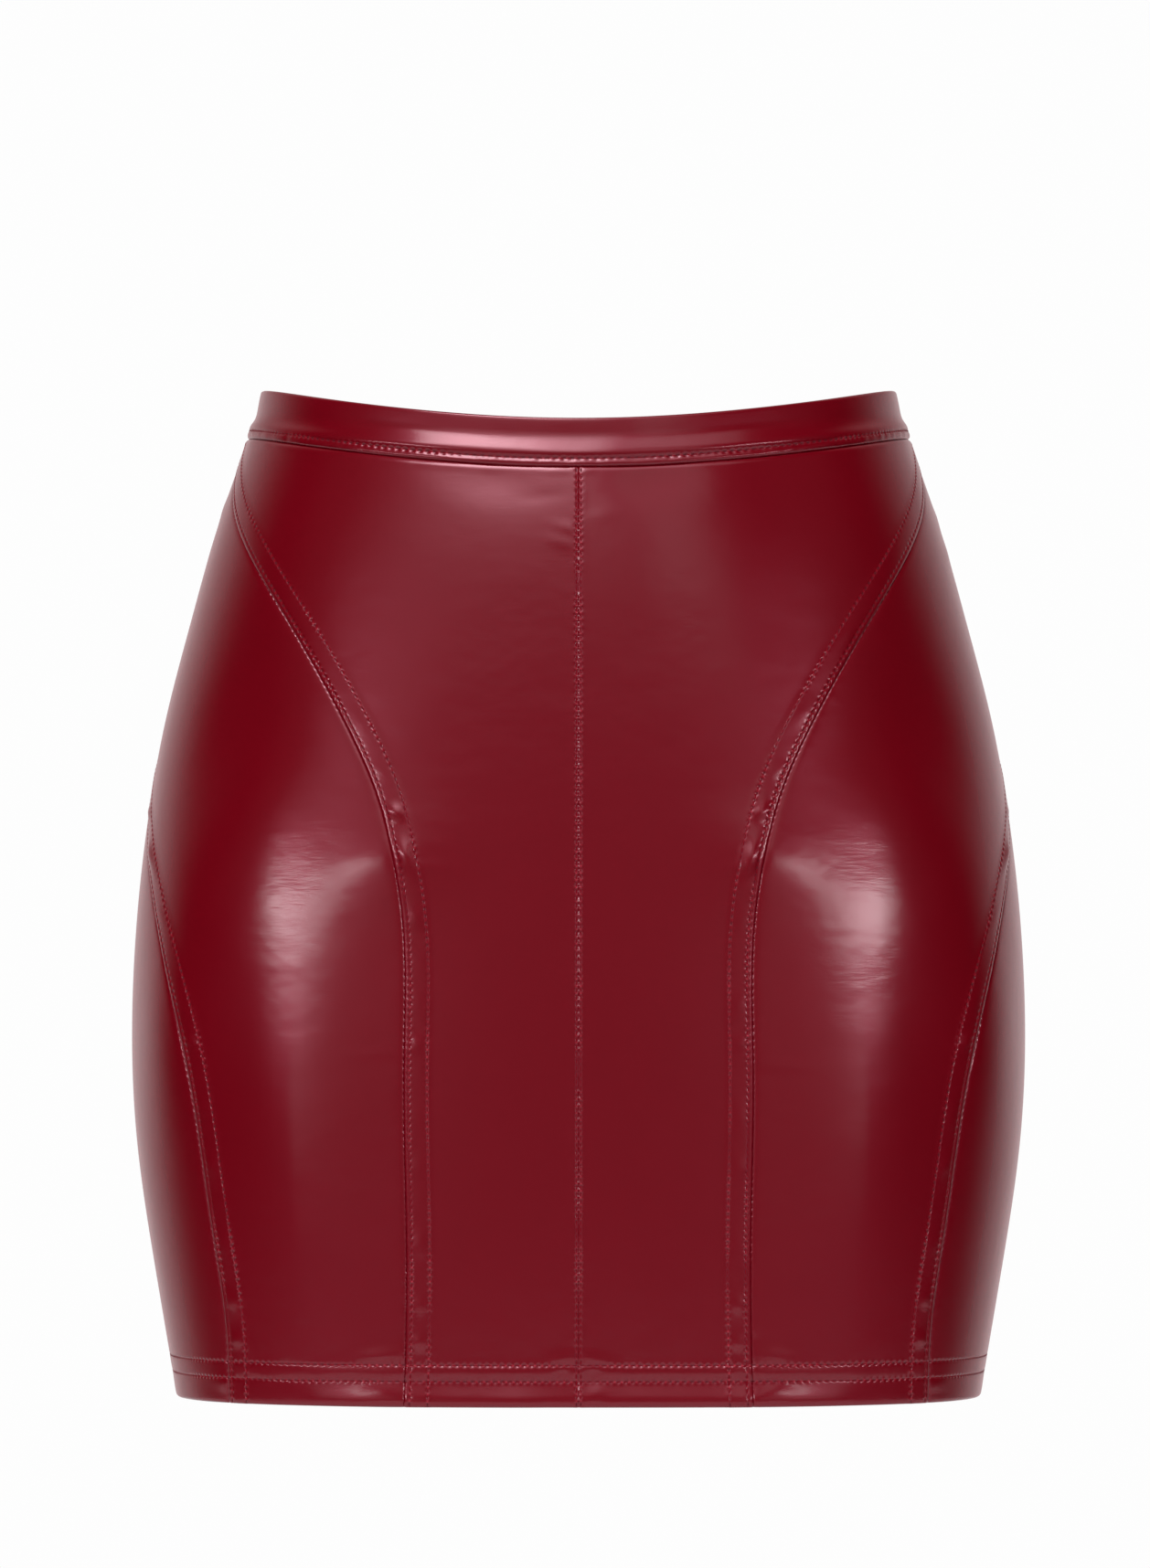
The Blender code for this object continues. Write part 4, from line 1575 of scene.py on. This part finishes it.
@dataclass
class ConcealedZip:
    """The zip at the centre back: two tapes with coils, a slider and its pull. Sizes are in mm."""

    finishes: Finishes

    TAPE_SHARP = 35.0  # degrees, of the tapes and the slider
    COIL_PITCH = 1.25
    COIL_TOP = 16.0  # below the tape's top
    COIL_FOOT = 2.0  # above its lower end
    TAPE_BACK = 0.75 + 1.8  # clearance and thickness of a tape with its coil
    PROUD = 0.12  # of a turn on the tape's edge
    TURN_SIZE = (2.2, -0.42, 0.588)  # away from the centre, inward and up
    TURN_OVERLAP = -0.25  # past the centre
    TURN_ROUNDING = 0.12
    BAND_EDGE = (-30.0, -27.0)  # heights between which the tape passes behind the band
    CORNERS = tuple((x, y, z) for x in (0, 1) for y in (0, 1) for z in (0, 1))
    QUADS = ((0, 1, 3, 2), (4, 6, 7, 5), (0, 4, 5, 1), (2, 3, 7, 6), (0, 2, 6, 4), (1, 5, 7, 3))
    PULL_ROUNDING = 0.22
    PULL_SHARP = 50.0  # degrees, from which an edge is rounded
    WELD = 0.01

    def build(self) -> None:
        """Dress the tapes and the metal parts and add the coils' turns."""
        for side in Side:
            self.dress(f"zip_tape_{side.word}", self.finishes.tape)
            self.coil(side)
        self.dress("zip_slider", self.finishes.metal)
        self.pull()

    def dress(self, node: str, material: bpy.types.Material) -> None:
        """Give a node of the frame its finish."""
        thing = bpy.data.objects[node]
        thing.data.materials.clear()
        thing.data.materials.append(material)
        thing.data.shade_smooth()
        thing.data.set_sharp_from_angle(angle=math.radians(self.TAPE_SHARP))
        LOG.info("%s: dressed", node)

    def round_edges(
        self, thing: bpy.types.Object, width: float, segments: int
    ) -> bpy.types.BevelModifier:
        """Round a piece's edges by a width in mm and return the modifier."""
        bevel = thing.modifiers.new("round", "BEVEL")
        bevel.width = width * MM
        bevel.segments = segments
        return bevel

    def coil(self, side: Side) -> None:
        """Lay the turns of one half of the coil along the inside of a tape's edge."""
        low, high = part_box(f"zip_tape_{side.word}")
        bottom = low.z / MM + self.COIL_FOOT
        heights = np.arange(bottom, high.z / MM - self.COIL_TOP, self.COIL_PITCH)
        angle = np.full_like(heights, 180.0)
        band = smooth_step(heights, *self.BAND_EDGE) * (FOLDED - LEATHER)
        inward = LEATHER + self.TAPE_BACK + self.PROUD + band
        surface = FORM.base(angle, heights)
        surface = surface - FORM.base_normal(angle, heights) * inward[:, None]
        rise = 0.0 if side is Side.RIGHT else self.COIL_PITCH / 2
        corner = surface + np.array([self.TURN_OVERLAP * side.value, 0.0, rise])
        size = np.array(self.TURN_SIZE) * (side.value, 1, 1)
        points = corner[:, None] + np.array(self.CORNERS) * size
        quads = np.array(self.QUADS)
        if side is Side.RIGHT:
            quads = quads[:, ::-1]
        faces = quads[None] + np.arange(len(surface))[:, None, None] * len(self.CORNERS)
        name = f"zip_coil_{side.word}"
        tape = [self.finishes.tape]
        thing = make_mesh(name, points.reshape(-1, 3), faces.reshape(-1, 4), tape)
        self.round_edges(thing, self.TURN_ROUNDING, 2)
        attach(thing, "skirt")
        LOG.info("%s: %d turns", name, len(surface))

    def pull(self) -> None:
        """Round the edges of the pull on a copy that stands for its node."""
        node = bpy.data.objects["zip_pull"]
        thing = bpy.data.objects.new("zip_pull_tab", node.data.copy())
        bpy.context.scene.collection.objects.link(thing)
        thing.data.materials.clear()
        thing.data.materials.append(self.finishes.metal)
        mesh = bmesh.new()
        mesh.from_mesh(thing.data)
        bmesh.ops.remove_doubles(mesh, verts=mesh.verts, dist=self.WELD * MM)
        flat = math.radians(1.0)
        bmesh.ops.dissolve_limit(mesh, angle_limit=flat, verts=mesh.verts, edges=mesh.edges)
        mesh.to_mesh(thing.data)
        mesh.free()
        bevel = self.round_edges(thing, self.PULL_ROUNDING, 3)
        bevel.angle_limit = math.radians(self.PULL_SHARP)
        thing.data.shade_smooth()
        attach(thing, "zip_pull")
        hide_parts("zip_pull")
        LOG.info("zip_pull_tab: rounded")


# ---- studio ----


@dataclass(frozen=True)
class SoftBox:
    """A soft-edged patch of light, placed by direction from the skirt.

    The four angles of each pair of edges, in degrees, are where the light starts, is full,
    begins to fall and ends: round from the camera to the viewer's right, and up.
    """

    across: Edges
    up: Edges
    strength: float
    both_sides: bool = True


SOFT_BOXES = (
    SoftBox((18.3, 44.4, 45.9, 57.4), (2.0, 6.6, 5.9, 8.0), 36.0),  # long strips at both sides
    SoftBox((0.0, 44.9, 38.9, 44.1), (-15.4, -3.5, 2.0, 3.4), 1.07),  # their glow, lower down
    SoftBox((33.5, 49.8, 62.9, 85.0), (3.9, 10.0, 35.0, 50.0), 0.08),
    SoftBox((-45.1, -9.4, 0.8, 8.3), (8.5, 64.4, 85.0, 89.0), 8.9, False),  # above, left
    SoftBox((9.5, 11.5, 16.1, 28.0), (11.4, 14.0, 85.0, 89.0), 0.90, False),  # above, right
    SoftBox((-2.0, -1.0, 7.5, 42.7), (-69.5, -34.5, 60.0, 83.0), 0.21),  # dim front fill
    SoftBox((-60.0, -35.0, 12.0, 30.0), (6.5, 13.0, 20.0, 45.0), 0.40, False),
    SoftBox((-43.0, -38.5, -18.0, -3.0), (36.0, 48.0, 85.0, 89.0), 13.0, False),  # high, left
    SoftBox((4.0, 12.0, 30.0, 50.0), (38.0, 48.0, 85.0, 89.0), 1.6, False),
)


class RoomTree(NodeTree):
    """The world's node tree, with patches of light by direction."""

    def __init__(self, tree: bpy.types.NodeTree) -> None:
        """Add the directions: the turn from the camera and the height, in degrees."""
        super().__init__(tree)
        self.nodes.clear()
        place = self.node("ShaderNodeTexCoord").outputs["Generated"]
        x, y, z = self.node("ShaderNodeSeparateXYZ", Vector=place).outputs
        degrees = 180.0 / math.pi
        self.turn = self.product(self.math("ARCTAN2", x, self.product(y, -1.0)), degrees)
        self.side = self.math("ABSOLUTE", self.turn)
        self.height = self.product(self.math("ARCSINE", z), degrees)

    def rise(self, value: Socket, low: float, high: float) -> Socket:
        """Return a smooth rise from 0 at low to 1 at high."""
        settings = dict(interpolation_type="SMOOTHSTEP", From_Min=low, From_Max=high)
        made = self.node("ShaderNodeMapRange", **settings, Value=value)
        return made.outputs["Result"]

    def between(self, value: Socket, edges: Edges) -> Socket:
        """Return how far a value lies between its edges, from 0 to 1."""
        start, full, fading, end = edges
        fall = self.math("SUBTRACT", 1.0, self.rise(value, fading, end))
        return self.product(self.rise(value, start, full), fall)

    def patch(self, soft_box: SoftBox) -> Socket:
        """Return the strength of a soft box's light."""
        turn = self.side if soft_box.both_sides else self.turn
        across = self.between(turn, soft_box.across)
        return self.product(across, self.between(self.height, soft_box.up), soft_box.strength)


@dataclass
class Studio:
    """A pale room: soft boxes at both front sides and above, and a white wall behind."""

    GLOOM = 0.001  # light where no soft box is
    WALL = (0.74, 0.57, 0.58, 1.0)
    WALL_TURN = (90.0, 134.0)  # degrees from the camera between which the wall grows bright
    WALL_DIMMING = 0.35  # of its upper part, and the heights in degrees between which it dims
    WALL_HEIGHT = (4.0, 26.0)
    SEEN = (0.985, 0.985, 0.985, 1.0)  # what the camera sees of the room
    FLOOR_COLOUR = (0.86, 0.86, 0.86, 1.0)
    FLOOR_RADIUS = 2.2
    CLIP = (0.05, 50.0)  # metres from the camera

    def build(self) -> None:
        """Set up the world, the floor and the camera."""
        self.light_room()
        self.floor()
        self.camera()

    def light_room(self) -> None:
        """Paint the room's light by direction, and show it plain white to the camera."""
        world = bpy.data.worlds.new("studio")
        bpy.context.scene.world = world
        world.use_nodes = True
        made = RoomTree(world.node_tree)
        total = self.GLOOM
        for soft_box in SOFT_BOXES:
            total = made.math("ADD", total, made.patch(soft_box))
        dimming = made.product(made.rise(made.height, *self.WALL_HEIGHT), self.WALL_DIMMING)
        upper = made.math("SUBTRACT", 1.0, dimming)
        behind = made.product(made.rise(made.side, *self.WALL_TURN), upper)
        background = "ShaderNodeBackground"
        light = made.node(background, Strength=total).outputs[0]
        wall = made.node(background, Color=self.WALL, Strength=behind).outputs[0]
        seen = made.node(background, Color=self.SEEN).outputs[0]
        both = made.fill(made.node("ShaderNodeAddShader"), light, wall)
        rays = made.node("ShaderNodeLightPath").outputs["Is Camera Ray"]
        shown = made.fill(made.node("ShaderNodeMixShader"), rays, both, seen)
        made.node("ShaderNodeOutputWorld", Surface=shown)

    def floor(self) -> None:
        """Lay a plain pale floor at a wearer's feet."""
        place = (0.0, 0.0, FLOOR_HEIGHT)
        bpy.ops.mesh.primitive_circle_add(
            vertices=96, radius=self.FLOOR_RADIUS, fill_type="NGON", location=place
        )
        floor = bpy.context.object
        floor.name = "studio_floor"
        made = NodeMaterial("pale_floor")
        made.set(base_color=self.FLOOR_COLOUR, roughness=0.8)
        floor.data.materials.append(made.material)

    def camera(self) -> None:
        """Stand the camera level in front of the skirt."""
        data = bpy.data.cameras.new("front_camera")
        data.sensor_width = SENSOR_MM
        data.lens = SENSOR_MM * CAMERA_DISTANCE / FRAME_HEIGHT_M
        data.clip_start, data.clip_end = self.CLIP
        camera = bpy.data.objects.new("front_camera", data)
        camera.location = (CAMERA_SIDE, -CAMERA_DISTANCE, CAMERA_HEIGHT)
        camera.rotation_euler = (math.radians(90.0), 0.0, 0.0)
        bpy.context.scene.collection.objects.link(camera)
        bpy.context.scene.camera = camera


def main() -> None:
    """Build the skirt's looks around the frame."""
    logging.basicConfig(level=logging.INFO, format="%(name)s %(message)s")
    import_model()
    finishes = Finishes()
    body = SkirtBody(finishes)
    body.build()
    body.stitch()
    Waistband(finishes).build()
    ConcealedZip(finishes).build()
    Studio().build()
    bpy.context.scene.view_settings.view_transform = "Standard"


if __name__ == "__main__":
    main()
